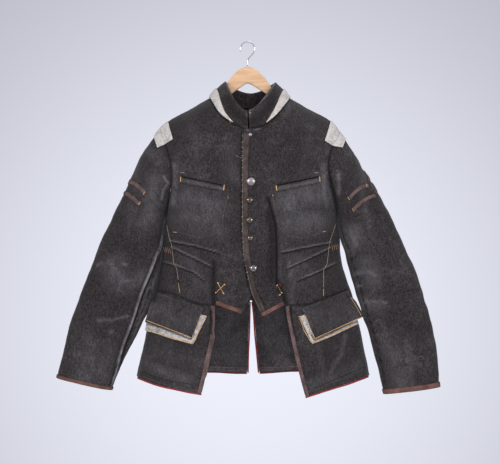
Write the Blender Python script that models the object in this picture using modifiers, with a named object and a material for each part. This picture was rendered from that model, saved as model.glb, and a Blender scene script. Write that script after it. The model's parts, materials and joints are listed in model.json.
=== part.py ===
"""Military jacket of heavy black denim, buttoned and hanging on a wooden coat hanger.

The sizes below are in millimetres and are turned into metres where a mesh is made. +X is the
wearer's left, +Y points away from the viewer, +Z is up, and the origin is the seat of the
hanger's hook. The cloth of the body is one surface that every panel, flap and strip is cut
from: a depth at each place of the front view, worked out from the levels in LEVELS.
"""

import math
from bisect import bisect_right
from collections import namedtuple

import bpy
from mathutils import Vector
from mathutils.bvhtree import BVHTree

MM = 0.001

# Cloth and trim thicknesses, and the gaps that keep touching pieces apart
CLOTH = 2.0
COLLAR_CLOTH = 3.0
TRIM = 1.2
GAP = 0.35
TRIM_GAP = 0.55
SEAM_HALF_GAP = 0.85
ARMHOLE_GAP = 0.9
ARMHOLE_GAP_DOWN = 0.36
OVERLAP_DIP = 3.4
OVERLAP_DIP_START = 26.0
OVERLAP_DIP_LENGTH = 20.0

# The body
CENTRE_X = 6.0
SIDE_POWER = 2.6
SHOULDER_DROP = 130.0
SHOULDER_POWER = 0.55
NORMAL_STEP = 0.5

# Levels of the body: half widths each side of CENTRE_X, depth of the front and of the back
# from the hanger's plane, and how far back the side seam lies. Above the armpit the half
# widths run on into the sleeves.
Level = namedtuple("Level", "z right left front back side")
LEVELS = (
    Level(-845, 282, 304, 74, 66, 4),
    Level(-800, 271, 287, 77, 67, 4),
    Level(-686, 248, 264, 79, 66, 6),
    Level(-644, 241, 252, 79, 66, 8),
    Level(-592, 225, 238, 78, 66, 12),
    Level(-527, 216, 217, 76, 66, 15),
    Level(-490, 213, 213, 76, 66, 15),
    Level(-462, 208, 212, 77, 67, 12),
    Level(-431, 203, 210, 78, 68, 8),
    Level(-405, 213, 219, 78, 69, 6),
    Level(-370, 222, 227, 78, 70, 4),
    Level(-320, 230, 234, 78, 70, 2),
    Level(-260, 236, 240, 76, 68, 1),
    Level(-200, 238, 242, 72, 64, 0),
    Level(-100, 240, 244, 68, 60, 0),
)

# The ridge of the shoulders, from the wearer's right to the left, across the open neck
Spot = namedtuple("Spot", "x z")
RIDGE = (
    Spot(-208.8, -205.2),
    Spot(-190.6, -189.8),
    Spot(-140.2, -161.4),
    Spot(-92.4, -134.2),
    Spot(-40.0, -114.0),
    Spot(6.0, -108.0),
    Spot(54.0, -114.5),
    Spot(104.4, -134.9),
    Spot(140.6, -157.2),
    Spot(174.5, -174.0),
    Spot(196.3, -186.0),
    Spot(209.8, -197.6),
    Spot(219.6, -212.4),
)

# Armhole seams, from the shoulder tip down to the armpit
FRONT_ARMHOLE = {
    "right": (
        Spot(-208.8, -205.2),
        Spot(-196.2, -244.3),
        Spot(-187.4, -267.1),
        Spot(-181.4, -291.0),
        Spot(-176.8, -325.0),
        Spot(-181.9, -358.2),
        Spot(-189.3, -401.9),
        Spot(-197.0, -431.0),
    ),
    "left": (
        Spot(219.6, -212.4),
        Spot(205.1, -247.2),
        Spot(194.2, -268.0),
        Spot(190.1, -296.0),
        Spot(191.4, -331.1),
        Spot(199.0, -364.0),
        Spot(210.0, -407.3),
        Spot(216.0, -431.0),
    ),
}
BACK_ARMHOLE = {
    "right": (
        Spot(-208.8, -205.2),
        Spot(-196.0, -245.0),
        Spot(-188.0, -290.0),
        Spot(-186.5, -340.0),
        Spot(-190.0, -390.0),
        Spot(-197.0, -431.0),
    ),
    "left": (
        Spot(219.6, -212.4),
        Spot(207.0, -250.0),
        Spot(200.0, -290.0),
        Spot(200.0, -340.0),
        Spot(205.0, -390.0),
        Spot(216.0, -431.0),
    ),
}

# Necklines, from the middle out to the shoulder
FRONT_NECK = {
    "right": (
        Spot(20.0, -214.5),
        Spot(3.7, -213.4),
        Spot(-15.1, -210.1),
        Spot(-34.3, -202.5),
        Spot(-63.0, -183.5),
        Spot(-80.0, -157.5),
        Spot(-92.4, -134.2),
    ),
    "left": (
        Spot(-8.8, -216.0),
        Spot(3.7, -213.4),
        Spot(24.7, -210.6),
        Spot(44.2, -203.9),
        Spot(69.6, -183.0),
        Spot(88.1, -158.5),
        Spot(104.4, -134.9),
    ),
}
BACK_NECK = {
    "right": (Spot(6.0, -153.0), Spot(-38.0, -150.0), Spot(-76.0, -141.0), Spot(-92.4, -134.2)),
    "left": (Spot(6.0, -153.0), Spot(50.0, -150.0), Spot(88.0, -142.0), Spot(104.4, -134.9)),
}

# Front edges from the bottom up. The left front laps over the right one.
FRONT_EDGE = {
    "right": (
        Spot(-13.4, -645.6),
        Spot(8.1, -602.6),
        Spot(20.0, -576.0),
        Spot(20.0, -431.0),
        Spot(20.0, -214.5),
    ),
    "left": (
        Spot(34.0, -652.4),
        Spot(21.4, -625.1),
        Spot(9.7, -599.0),
        Spot(1.5, -575.0),
        Spot(-4.3, -536.5),
        Spot(-10.5, -485.0),
        Spot(-12.8, -431.0),
        Spot(-12.8, -394.1),
        Spot(-11.5, -300.0),
        Spot(-8.8, -216.0),
    ),
}

# Lower edge of each front: from the front tip up to the corner where the skirt starts, and
# on along the waist seam to the side
FRONT_BOTTOM = {
    "right": (Spot(-13.4, -645.6), Spot(-77.0, -623.2)),
    "left": (Spot(34.0, -652.4), Spot(89.2, -624.0)),
}
WAIST_SEAM = {
    "right": (
        Spot(-77.0, -623.2),
        Spot(-110.2, -624.5),
        Spot(-132.5, -616.7),
        Spot(-158.8, -604.5),
        Spot(-181.0, -598.8),
        Spot(-219.0, -592.0),
    ),
    "left": (
        Spot(89.2, -624.0),
        Spot(139.6, -624.5),
        Spot(183.8, -607.9),
        Spot(244.0, -590.0),
    ),
}

# Front edge and hem of each skirt, from the hem corner up and from that corner to the side
SKIRT_EDGE = {
    "right": (
        Spot(-109.7, -833.3),
        Spot(-99.5, -790.1),
        Spot(-91.1, -748.8),
        Spot(-82.5, -712.0),
        Spot(-75.5, -667.1),
        Spot(-77.0, -624.2),
    ),
    "left": (
        Spot(135.9, -840.3),
        Spot(120.4, -783.3),
        Spot(106.1, -723.1),
        Spot(96.5, -675.7),
        Spot(89.5, -640.2),
        Spot(89.2, -625.0),
    ),
}
SKIRT_HEM = {
    "right": (Spot(-109.7, -833.3), Spot(-180.1, -821.4), Spot(-230.1, -809.8), Spot(-265.0, -800.0)),
    "left": (Spot(135.9, -840.3), Spot(213.4, -817.8), Spot(292.6, -797.0)),
}

# Vent edges of the back, from the hem up to the centre seam, and the back's hem
VENT_TOP = -596.0
BACK_HEM = -800.0
BACK_HEM_CORNER = {"right": -79.0, "left": 101.0}
BACK_EDGE = {
    "right": (
        Spot(-0.6, -800.0),
        Spot(-0.2, -760.5),
        Spot(2.6, -704.2),
        Spot(3.5, -665.8),
        Spot(4.5, -619.0),
        Spot(5.4, VENT_TOP),
        Spot(5.4, -431.0),
        Spot(5.4, -153.0),
    ),
    "left": (
        Spot(28.8, -800.0),
        Spot(23.5, -742.1),
        Spot(19.5, -704.0),
        Spot(16.5, -655.0),
        Spot(11.5, -619.0),
        Spot(6.6, VENT_TOP),
        Spot(6.6, -431.0),
        Spot(6.6, -153.0),
    ),
}

# Soft folds of the hanging cloth: a line down the panel, its half width, and how far it
# sinks (or, below zero, swells)
Fold = namedtuple("Fold", "face x_top z_top x_low z_low width sink")
FOLDS = (
    Fold("front", -86.0, -450.0, -80.0, -640.0, 17.0, 5.0),
    Fold("front", 60.0, -380.0, 86.0, -650.0, 17.0, 7.0),
    Fold("front", -150.0, -690.0, -160.0, -900.0, 16.0, 6.0),
    Fold("front", -212.0, -690.0, -222.0, -900.0, 18.0, -5.0),
    Fold("front", 176.0, -690.0, 186.0, -900.0, 18.0, 7.0),
    Fold("front", 232.0, -690.0, 246.0, -900.0, 18.0, -5.0),
    Fold("back", -70.0, -560.0, -84.0, -860.0, 22.0, 8.0),
    Fold("back", -150.0, -600.0, -170.0, -860.0, 22.0, -6.0),
    Fold("back", 86.0, -560.0, 104.0, -860.0, 22.0, 8.0),
    Fold("back", 168.0, -600.0, 190.0, -860.0, 22.0, -6.0),
    Fold("back", -110.0, -260.0, -118.0, -470.0, 24.0, 4.0),
    Fold("back", 124.0, -260.0, 130.0, -470.0, 24.0, 4.0),
)

# Stations of the sleeves: the outer and the inner end of a flattened ring, its middle's
# place in depth and its half depth. The first is the armhole.
Station = namedtuple("Station", "outer_x outer_z inner_x inner_z y half")
SLEEVE = {
    "right": (
        Station(-208.8, -205.2, -197.0, -431.0, 1, 50),
        Station(-224.9, -225.8, -199.6, -436.0, 0, 50),
        Station(-247.0, -259.0, -201.2, -443.0, -2, 48),
        Station(-267.6, -301.2, -202.6, -451.5, -4, 46),
        Station(-287.4, -354.2, -203.8, -462.0, -6, 44),
        Station(-311.0, -402.2, -204.9, -476.4, -9, 41),
        Station(-331.0, -440.5, -205.9, -493.2, -12, 38),
        Station(-354.5, -484.6, -209.5, -531.6, -15, 34),
        Station(-375.6, -545.0, -222.0, -595.6, -18, 31),
        Station(-407.2, -621.6, -245.5, -660.5, -20, 28),
        Station(-433.6, -725.1, -293.3, -758.4, -22, 24),
        Station(-453.0, -799.5, -321.0, -828.8, -24, 21),
    ),
    "left": (
        Station(219.6, -212.4, 216.0, -431.0, 1, 50),
        Station(234.7, -233.3, 218.8, -437.0, 0, 50),
        Station(253.2, -262.8, 220.6, -445.0, -2, 48),
        Station(274.8, -303.6, 222.6, -455.0, -4, 46),
        Station(298.8, -346.8, 225.2, -467.0, -6, 44),
        Station(323.2, -384.8, 229.2, -482.4, -9, 41),
        Station(348.8, -431.0, 236.2, -500.4, -12, 38),
        Station(378.9, -496.0, 247.6, -540.8, -15, 34),
        Station(405.8, -556.0, 260.0, -588.5, -18, 31),
        Station(424.7, -627.9, 277.6, -648.0, -20, 28),
        Station(443.2, -714.3, 300.1, -735.8, -22, 24),
        Station(456.4, -818.9, 323.9, -835.5, -24, 21),
    ),
}
SLEEVE_ROWS = (0, 0.5, 1, 2, 3, 4, 5, 6, 7, 8, 8.5, 9, 9.5, 10, 10.5, 11)
ARMHOLE_BLEND_STATIONS = 4.0
RING_HALF_COUNT = 12
FRONT_SLEEVE_SEAM = 10
BACK_SLEEVE_SEAM = 7
CUFF_TAPE_STATIONS = 0.085

# Soft folds of the sleeves: place along and round, how far they turn for each station, their
# half width in degrees, their half length in stations, and how far they sink
SleeveFold = namedtuple("SleeveFold", "station turn twist width length sink")
SLEEVE_FOLDS = {
    "right": (
        SleeveFold(6.6, 60.0, 24.0, 17.0, 1.0, 4.0),
        SleeveFold(8.4, 128.0, -18.0, 20.0, 0.9, 4.0),
        SleeveFold(7.4, -60.0, -20.0, 20.0, 1.1, 4.0),
    ),
    "left": (
        SleeveFold(6.8, 66.0, 22.0, 17.0, 1.0, 3.5),
        SleeveFold(8.6, 124.0, -18.0, 20.0, 0.9, 3.5),
        SleeveFold(7.2, -64.0, -20.0, 20.0, 1.1, 4.0),
    ),
}

# Grid counts of the body panels
ARMHOLE_ROWS = RING_HALF_COUNT
FIRST_ARMHOLE_SHARE = 0.008
FRONT_SIDE_ROWS = 7
BACK_SIDE_ROWS = 10
FRONT_NECK_COLUMNS = 6
BACK_NECK_COLUMNS = 4
SHOULDER_COLUMNS = 8
SKIRT_ROWS = 8

# The stand collar: places round the neck seam and the top edge. face is the panel that the
# neck seam lies on there.
CollarRow = namedtuple("CollarRow", "face neck_x neck_z top_x top_y top_z stand")
COLLAR = (
    CollarRow("front", 4.8, -212.3, 2.8, -54, -168.5, 0.0),
    CollarRow("front", 24.7, -209.4, 15.0, -51, -161.0, 0.0),
    CollarRow("front", 44.2, -202.6, 29.6, -46, -148.0, 0.02),
    CollarRow("front", 69.6, -181.6, 47.0, -36, -125.0, 0.26),
    CollarRow("front", 88.1, -157.2, 60.0, -20, -104.0, 0.44),
    CollarRow("front", 104.0, -133.4, 67.2, -2, -94.8, 0.50),
    CollarRow("back", 89.0, -140.6, 60.0, 24, -97.0, 0.50),
    CollarRow("back", 50.0, -148.6, 38.0, 44, -109.0, 0.50),
    CollarRow("back", 6.0, -151.6, 6.0, 50, -117.0, 0.50),
    CollarRow("back", -38.0, -148.6, -26.0, 44, -108.0, 0.50),
    CollarRow("back", -77.0, -139.6, -47.0, 24, -96.0, 0.50),
    CollarRow("front", -92.0, -131.7, -54.0, -2, -92.4, 0.50),
    CollarRow("front", -80.0, -156.2, -47.0, -20, -102.0, 0.44),
    CollarRow("front", -63.0, -182.1, -38.0, -36, -127.0, 0.26),
    CollarRow("front", -34.3, -201.2, -22.0, -46, -152.0, 0.02),
    CollarRow("front", -15.1, -208.8, -10.0, -51, -164.5, 0.0),
    CollarRow("front", 1.2, -212.1, 0.4, -54, -169.8, 0.0),
)
COLUMNS_A_COLLAR_ROW = 2
COLLAR_ROWS = 4
COLLAR_BULGE = 3.5
COLLAR_RISE = 0.8
STAND_FIRST = 2
STAND_LOW = 0.05
STAND_ROWS = 3
STAND_TIP = 0.02
STAND_LIFT = 0.1

# Pieces that lie on the body, as corners in the front view
Corners = namedtuple("Corners", "top_in top_out low_out low_in")
WELT = {
    "right": Corners(Spot(-55.2, -347.3), Spot(-157.0, -324.5), Spot(-158.0, -337.4), Spot(-57.1, -360.8)),
    "left": Corners(Spot(68.9, -346.6), Spot(168.5, -324.5), Spot(171.3, -338.1), Spot(70.7, -360.1)),
}
FLAP = {
    "right": Corners(Spot(-101.7, -630.5), Spot(-217.0, -597.5), Spot(-239.1, -668.8), Spot(-128.5, -700.8)),
    "left": Corners(Spot(127.0, -632.5), Spot(240.0, -593.5), Spot(275.5, -656.9), Spot(156.4, -705.0)),
}
UNDER_FLAP = {
    "right": Corners(Spot(-94.6, -651.4), Spot(-222.0, -616.0), Spot(-240.5, -689.3), Spot(-126.7, -716.9)),
    "left": Corners(Spot(121.4, -651.4), Spot(246.0, -616.0), Spot(262.1, -674.0), Spot(150.6, -716.4)),
}
FLAP_STRAIGHT_FROM = 0.88
FLAP_REACH = 0.9
FLAP_COLUMNS = 10
FLAP_ROWS = 4
UNDER_FLAP_CLOTH = 1.4
UNDER_FLAP_LIFT = 0.5
FLAP_LIFT = 2.3
FLAP_FLARE = 3.0
FLAP_FLARE_POWER = 1.5
WELT_COLUMNS = 8

# Strips along the edges
STRIP_WIDTH = 9.0
PLACKET_WIDTH = 13.0
PIPING_WIDTH = 2.6
PIPING_CLOTH = 2.6
PIPING_LIFT = 0.3
PIPING_GAP = 0.6
STRIP_INSET = 0.1
PATH_STEP = 0.01
SIDE_SHARE = 0.985

# How many parts an edge piece has along its edge, and the shares of the edge where it runs
Run = namedtuple("Run", "parts first last")
SKIRT_STRIP_RUN = Run(14, 0.0, 0.985)
TAIL_STRIP_RUN = Run(10, 0.03, 0.97)
PLACKET_RUN = Run(22, 0.025, 0.985)
SKIRT_PIPING_RUN = Run(12, 0.0, 0.97)
VENT_PIPING_RUN = Run(8, 0.0, 0.85)
BACK_PIPING_RUN = Run(12, 0.005, 1.0)

# Shoulder patches, across the sleeve seam: how far they turn round it, how much less on the
# sleeve, and how far they reach in from the seam and down the sleeve
PATCH_TURNS = (-52.0, -39.0, -26.0, -13.0, 0.0, 13.0, 26.0, 39.0, 52.0)
PATCH_SLEEVE_TURN = {"right": 0.87, "left": 0.76}
PATCH_BODY_REACH = {"right": 19.0, "left": 21.0}
PATCH_SLEEVE_REACH = 0.95
PATCH_LIFT = 1.4
PATCH_SHARES = (1.0, 0.5, 0.12)

# Two chevrons on each upper sleeve. Each has a front and a back arm, given by the station and
# the turn of its low end and of its top.
Arm = namedtuple("Arm", "low_station low_turn top_station top_turn")
CHEVRONS = {
    "right": (
        {"front": Arm(3.10, 78.0, 3.66, 12.0), "back": Arm(3.10, -62.0, 3.66, 3.0)},
        {"front": Arm(3.85, 77.0, 4.13, 10.0), "back": Arm(3.85, -61.0, 4.13, 1.0)},
    ),
    "left": (
        {"front": Arm(2.81, 91.0, 3.62, 38.5), "back": Arm(2.81, -26.0, 3.62, 29.0)},
        {"front": Arm(3.50, 98.0, 4.31, 34.5), "back": Arm(3.50, -30.0, 4.31, 25.0)},
    ),
}
CHEVRON_WIDTH = 8.5
CHEVRON_PARTS = 9
CHEVRON_GAP = 0.9

# Buttons down the front: place and diameter
Button = namedtuple("Button", "x z across")
BUTTONS = (
    Button(6.5, -227.8, 9.0),
    Button(8.3, -337.7, 21.0),
    Button(5.5, -381.3, 15.5),
    Button(5.5, -427.7, 15.5),
    Button(6.5, -469.7, 13.0),
    Button(13.7, -540.2, 18.0),
)
# The dome's profile from its top round to the shank, in button radii
Turned = namedtuple("Turned", "reach height")
BUTTON_RIM = 0.10
SHANK_RADIUS = 0.28
BUTTON_DOME = (
    Turned(0.0, 0.42),
    Turned(0.45, 0.38),
    Turned(0.80, 0.24),
    Turned(1.0, 0.04),
    Turned(0.92, -0.06),
    Turned(0.30, -BUTTON_RIM),
)
BUTTON_TURNS = 14
SHANK_REACH = 1.2
BUTTON_LIFT = 0.8

# The hanger: half of its outline on the wearer's right and on the left, and its hook
HANGER_THICKNESS = 13.0
HANGER_TOP = -57.1
HANGER_ROUNDING = 2.5
HANGER_UPPER = {
    "right": (
        Spot(-16.0, -61.5),
        Spot(-32.0, -74.5),
        Spot(-49.2, -97.2),
        Spot(-70.0, -126.0),
        Spot(-93.0, -145.0),
    ),
    "left": (
        Spot(17.0, -61.5),
        Spot(36.0, -77.0),
        Spot(57.1, -106.8),
        Spot(78.0, -131.0),
        Spot(104.0, -147.5),
    ),
}
HANGER_LOWER = {
    "right": (Spot(-39.6, -122.9), Spot(-92.0, -170.0), Spot(-150.0, -199.0), Spot(-184.0, -216.0)),
    "left": (Spot(47.3, -123.6), Spot(104.0, -172.0), Spot(160.0, -199.0), Spot(194.0, -216.0)),
}
HANGER_TIP = {"right": -190.0, "left": 200.0}
HANGER_TIP_BULGE = 1.5
HANGER_TIP_DROP = 11.0
HANGER_SHOULDER_SHARES = (0.3, 0.6, 0.85, 1.0)
HANGER_NOTCH = Spot(0.5, -96.0)
HANGER_BELOW_RIDGE = 5.2
HOOK_WIRE = 3.2
HOOK_RADIUS = 17.0
HOOK_FIRST_DEGREES = 205
HOOK_LAST_DEGREES = -11
HOOK_STEP_DEGREES = 15
HOOK_PARTS = 34
HOOK_STEM = (Spot(13.9, -25.5), Spot(5.5, -35.0), Spot(0.6, -43.0), Spot(0.0, -50.0), Spot(0.0, -56.7))

COLOURS = {
    "denim": ((0.030, 0.028, 0.030, 1.0), 0.9, 0.0),
    "tape": ((0.085, 0.050, 0.042, 1.0), 0.85, 0.0),
    "canvas": ((0.50, 0.47, 0.44, 1.0), 0.9, 0.0),
    "piping": ((0.32, 0.02, 0.02, 1.0), 0.8, 0.0),
    "button": ((0.42, 0.39, 0.38, 1.0), 0.35, 1.0),
    "wood": ((0.72, 0.46, 0.25, 1.0), 0.45, 0.0),
    "steel": ((0.55, 0.55, 0.56, 1.0), 0.25, 1.0),
}


def clamp(value, low=0.0, high=1.0):
    return max(low, min(high, value))


def mix(first, second, share):
    return tuple(a + (b - a) * share for a, b in zip(first, second))


def smooth_step(value):
    share = clamp(value)
    return share * share * (3 - 2 * share)


def slope_at(keys, values, i):
    """The slope of a smooth curve at its i-th knot."""
    low = max(i - 1, 0)
    high = min(i + 1, len(keys) - 1)
    return (values[high] - values[low]) / (keys[high] - keys[low])


def smooth_value(keys, values, at):
    """A smooth curve through values at rising keys, straight past both ends."""
    if at <= keys[0]:
        return values[0] + slope_at(keys, values, 0) * (at - keys[0])
    if at >= keys[-1]:
        return values[-1] + slope_at(keys, values, len(keys) - 1) * (at - keys[-1])
    i = bisect_right(keys, at) - 1
    span = keys[i + 1] - keys[i]
    t = (at - keys[i]) / span
    rise = (slope_at(keys, values, i) * span, slope_at(keys, values, i + 1) * span)
    return (
        values[i] * (1 + 2 * t) * (1 - t) ** 2
        + rise[0] * t * (1 - t) ** 2
        + values[i + 1] * t * t * (3 - 2 * t)
        + rise[1] * t * t * (t - 1)
    )


class Path:
    """A smooth line through points, read by the share of its length."""

    SAMPLES = 12

    def __init__(self, points):
        knots = [0.0]
        for first, second in zip(points, points[1:]):
            knots.append(knots[-1] + math.dist(first, second))
        columns = list(zip(*points))
        count = self.SAMPLES * (len(points) - 1)
        self.points = []
        for i in range(count + 1):
            at = knots[-1] * i / count
            self.points.append(tuple(smooth_value(knots, column, at) for column in columns))
        self.lengths = [0.0]
        for first, second in zip(self.points, self.points[1:]):
            self.lengths.append(self.lengths[-1] + math.dist(first, second))

    def at(self, share):
        length = clamp(share) * self.lengths[-1]
        i = min(bisect_right(self.lengths, length), len(self.lengths) - 1)
        span = self.lengths[i] - self.lengths[i - 1]
        return mix(self.points[i - 1], self.points[i], (length - self.lengths[i - 1]) / span)

    def spread(self, shares):
        return [self.at(share) for share in shares]


LEVEL_KEYS = [level.z for level in LEVELS]
RIDGE_KEYS = [spot.x for spot in RIDGE]


def level_value(name, z):
    return smooth_value(LEVEL_KEYS, [getattr(level, name) for level in LEVELS], z)


def ridge_height(x):
    return smooth_value(RIDGE_KEYS, [spot.z for spot in RIDGE], x)


def fold_sink(face, x, z):
    """How far the folds of that face sink the cloth at a place of the front view."""
    sink = 0.0
    for fold in FOLDS:
        if fold.face != face:
            continue
        down = (fold.z_top - z) / (fold.z_top - fold.z_low)
        middle = fold.x_top + (fold.x_low - fold.x_top) * down
        fade = smooth_step(down * 3.0) * smooth_step((1.0 - down) * 4.0)
        sink += fold.sink * fade * math.exp(-(((x - middle) / fold.width) ** 2))
    return sink


def body_share(x, z):
    """How far out a place lies, from 0 at the middle to 1 at the side seam."""
    side = "right" if x < CENTRE_X else "left"
    return abs(x - CENTRE_X) / level_value(side, z)


def body_depth(x, z, face):
    """The outer surface's Y at a place of the front view, on the front or the back."""
    across = (1.0 - clamp(body_share(x, z)) ** SIDE_POWER) ** 0.5
    down = clamp((ridge_height(x) - z) / SHOULDER_DROP)
    over = (1.0 - (1.0 - down) ** 2) ** SHOULDER_POWER
    middle = level_value("side", z) * down
    sink = fold_sink(face, x, z) * across
    if face == "front":
        front = middle - (level_value("front", z) + middle) * across * over + sink
        return min(front, middle - SEAM_HALF_GAP)
    back = middle + (level_value("back", z) - middle) * across * over - sink
    return max(back, middle + SEAM_HALF_GAP)


def body_point(spot, face, lift=0.0):
    """A point of the body's surface, moved out along its normal by lift."""
    x, z = spot
    y = body_depth(x, z, face)
    if not lift:
        return Vector((x, y, z))
    step = NORMAL_STEP
    slope_x = (body_depth(x + step, z, face) - body_depth(x - step, z, face)) / (2 * step)
    slope_z = (body_depth(x, z + step, face) - body_depth(x, z - step, face)) / (2 * step)
    outward = -1.0 if face == "front" else 1.0
    normal = Vector((-slope_x * outward, outward, -slope_z * outward)).normalized()
    return Vector((x, y, z)) + normal * lift


def armhole_shares():
    """Shares of the armhole's height, from the shoulder tip to the armpit, closer at its ends."""
    shares = [(1 - math.cos(math.pi * i / ARMHOLE_ROWS)) / 2 for i in range(ARMHOLE_ROWS + 1)]
    shares[1] = FIRST_ARMHOLE_SHARE
    return shares


ARMHOLE_SHARES = armhole_shares()
ARMHOLE = {
    (face, side): Path(table[side])
    for face, table in (("front", FRONT_ARMHOLE), ("back", BACK_ARMHOLE))
    for side in ("right", "left")
}


def side_spots(side, low, high, count):
    """Places down the side seam between two heights."""
    sign = -1 if side == "right" else 1
    spots = []
    for i in range(count + 1):
        z = low + (high - low) * i / count
        spots.append((CENTRE_X + sign * level_value(side, z), z))
    return spots


def even(count, first=0):
    return [i / count for i in range(first, count + 1)]


def toward_end(count, first=0):
    """Shares from 0 to 1 that close up towards 1, where the cloth turns round the side."""
    return [math.sin(math.pi / 2 * i / count) for i in range(first, count + 1)]


def length_shares(points):
    lengths = [0.0]
    for first, second in zip(points, points[1:]):
        lengths.append(lengths[-1] + math.dist(first, second))
    return [length / lengths[-1] for length in lengths]


def coons(low, high, inner, outer):
    """A grid of places in the front view inside four edges, low and high from the inner edge
    out, and inner and outer from the low edge up."""
    across = mix(length_shares(low), length_shares(high), 0.5)
    upward = mix(length_shares(inner), length_shares(outer), 0.5)
    grid = []
    for i, b in enumerate(upward):
        row = []
        for j, a in enumerate(across):
            sides = mix(inner[i], outer[i], a)
            ends = mix(low[j], high[j], b)
            corners = mix(mix(low[0], low[-1], a), mix(high[0], high[-1], a), b)
            row.append(tuple(s + e - c for s, e, c in zip(sides, ends, corners)))
        grid.append(row)
    return grid


def material(name):
    found = bpy.data.materials.get(name)
    if found:
        return found
    colour, roughness, metallic = COLOURS[name]
    made = bpy.data.materials.new(name)
    made.use_nodes = True
    shader = made.node_tree.nodes["Principled BSDF"]
    shader.inputs["Base Color"].default_value = colour
    shader.inputs["Roughness"].default_value = roughness
    shader.inputs["Metallic"].default_value = metallic
    made.diffuse_color = colour
    return made


def clear_scene():
    for obj in list(bpy.data.objects):
        bpy.data.objects.remove(obj)


def new_collection(name):
    made = bpy.data.collections.new(name)
    bpy.context.scene.collection.children.link(made)
    return made


def add_object(name, data, finish):
    obj = bpy.data.objects.new(name, data)
    data.materials.append(material(finish))
    JACKET.objects.link(obj)
    return obj


def cloth(name, grid, thickness, finish, ring=False, flip=False):
    """A wall from a grid of points on its outer face, thickened inwards."""
    columns = len(grid[0])
    points = [Vector(point) * MM for row in grid for point in row]
    faces = []
    for i in range(len(grid) - 1):
        for j in range(columns if ring else columns - 1):
            k = (j + 1) % columns
            face = (i * columns + j, i * columns + k, (i + 1) * columns + k, (i + 1) * columns + j)
            faces.append(face[::-1] if flip else face)
    mesh = bpy.data.meshes.new(name)
    mesh.from_pydata(points, [], faces)
    mesh.validate()
    obj = add_object(name, mesh, finish)
    wall = obj.modifiers.new("Wall", "SOLIDIFY")
    wall.thickness = thickness * MM
    wall.offset = -1.0
    mesh.shade_smooth()
    return obj


class Surface:
    """The drawn faces of some walls, which pieces are laid on from the front or the back."""

    REACH = 400.0

    def __init__(self, walls):
        points = []
        faces = []
        for wall in walls:
            first = len(points)
            points += [vertex.co / MM for vertex in wall.data.vertices]
            wall.data.calc_loop_triangles()
            faces += [[first + i for i in face.vertices] for face in wall.data.loop_triangles]
        self.tree = BVHTree.FromPolygons(points, faces)

    def point(self, spot, face, lift):
        """The point over a place of the front view, moved out from the surface by lift."""
        outward = Vector((0, -1 if face == "front" else 1, 0))
        start = Vector((spot[0], outward.y * self.REACH, spot[1]))
        place, normal, _, _ = self.tree.ray_cast(start, -outward)
        if place is None:
            place, normal, _, _ = self.tree.find_nearest(body_point(spot, face))
        return place + normal * lift

    def nearest(self, place):
        return self.tree.find_nearest(place)[0]


def on_body(grid, face, lift=0.0):
    return [[body_point(spot, face, lift) for spot in row] for row in grid]


def overlap_dip(x, z):
    """How far the under front sinks where the over front lies on it."""
    edge = FRONT_EDGE["left"]
    over_edge = smooth_value([spot.z for spot in edge], [spot.x for spot in edge], z)
    return OVERLAP_DIP * smooth_step((x - over_edge + OVERLAP_DIP_START) / OVERLAP_DIP_LENGTH)


def shoulder_seam(side):
    """Places along the ridge, from the neck out to the shoulder tip."""
    neck_x = FRONT_NECK[side][-1].x
    if side == "right":
        line = [spot for spot in reversed(RIDGE) if spot.x <= neck_x]
    else:
        line = [spot for spot in RIDGE if spot.x >= neck_x]
    return Path(line).spread(toward_end(SHOULDER_COLUMNS, 1))


def front_panel(side):
    bottom = Path(FRONT_BOTTOM[side]).spread(even(FRONT_NECK_COLUMNS))
    waist = Path(WAIST_SEAM[side]).spread(toward_end(SHOULDER_COLUMNS, 1))
    neck = Path(FRONT_NECK[side]).spread(even(FRONT_NECK_COLUMNS))
    shoulder = shoulder_seam(side)
    armpit = FRONT_ARMHOLE[side][-1].z
    outer = side_spots(side, WAIST_SEAM[side][-1].z, armpit, FRONT_SIDE_ROWS)[:-1]
    outer += [ARMHOLE["front", side].at(share) for share in reversed(ARMHOLE_SHARES)]
    edge = FRONT_EDGE[side]
    lower_edge = [spot for spot in edge if spot.z <= armpit]
    upper_edge = [spot for spot in edge if spot.z >= armpit]
    inner = Path(lower_edge).spread(even(FRONT_SIDE_ROWS))[:-1]
    inner += Path(upper_edge).spread([1 - share for share in reversed(ARMHOLE_SHARES)])
    places = coons(bottom + waist, neck + shoulder, inner, outer)
    grid = on_body(places, "front")
    if side == "right":
        for row in grid:
            for point in row:
                point.y += overlap_dip(point.x, point.z)
    return cloth(f"front_{side}", grid, CLOTH, "denim", flip=side == "right")


def skirt_panel(side):
    hem = Path(SKIRT_HEM[side]).spread(toward_end(SHOULDER_COLUMNS))
    waist = Path(WAIST_SEAM[side]).spread(toward_end(SHOULDER_COLUMNS))
    top = [(x, z - 2 * GAP) for x, z in waist]
    inner = Path(SKIRT_EDGE[side]).spread(even(SKIRT_ROWS))
    outer = side_spots(side, SKIRT_HEM[side][-1].z, top[-1][1], SKIRT_ROWS)
    grid = on_body(coons(hem, top, inner, outer), "front")
    return cloth(f"skirt_{side}", grid, CLOTH, "denim", flip=side == "right")


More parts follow.
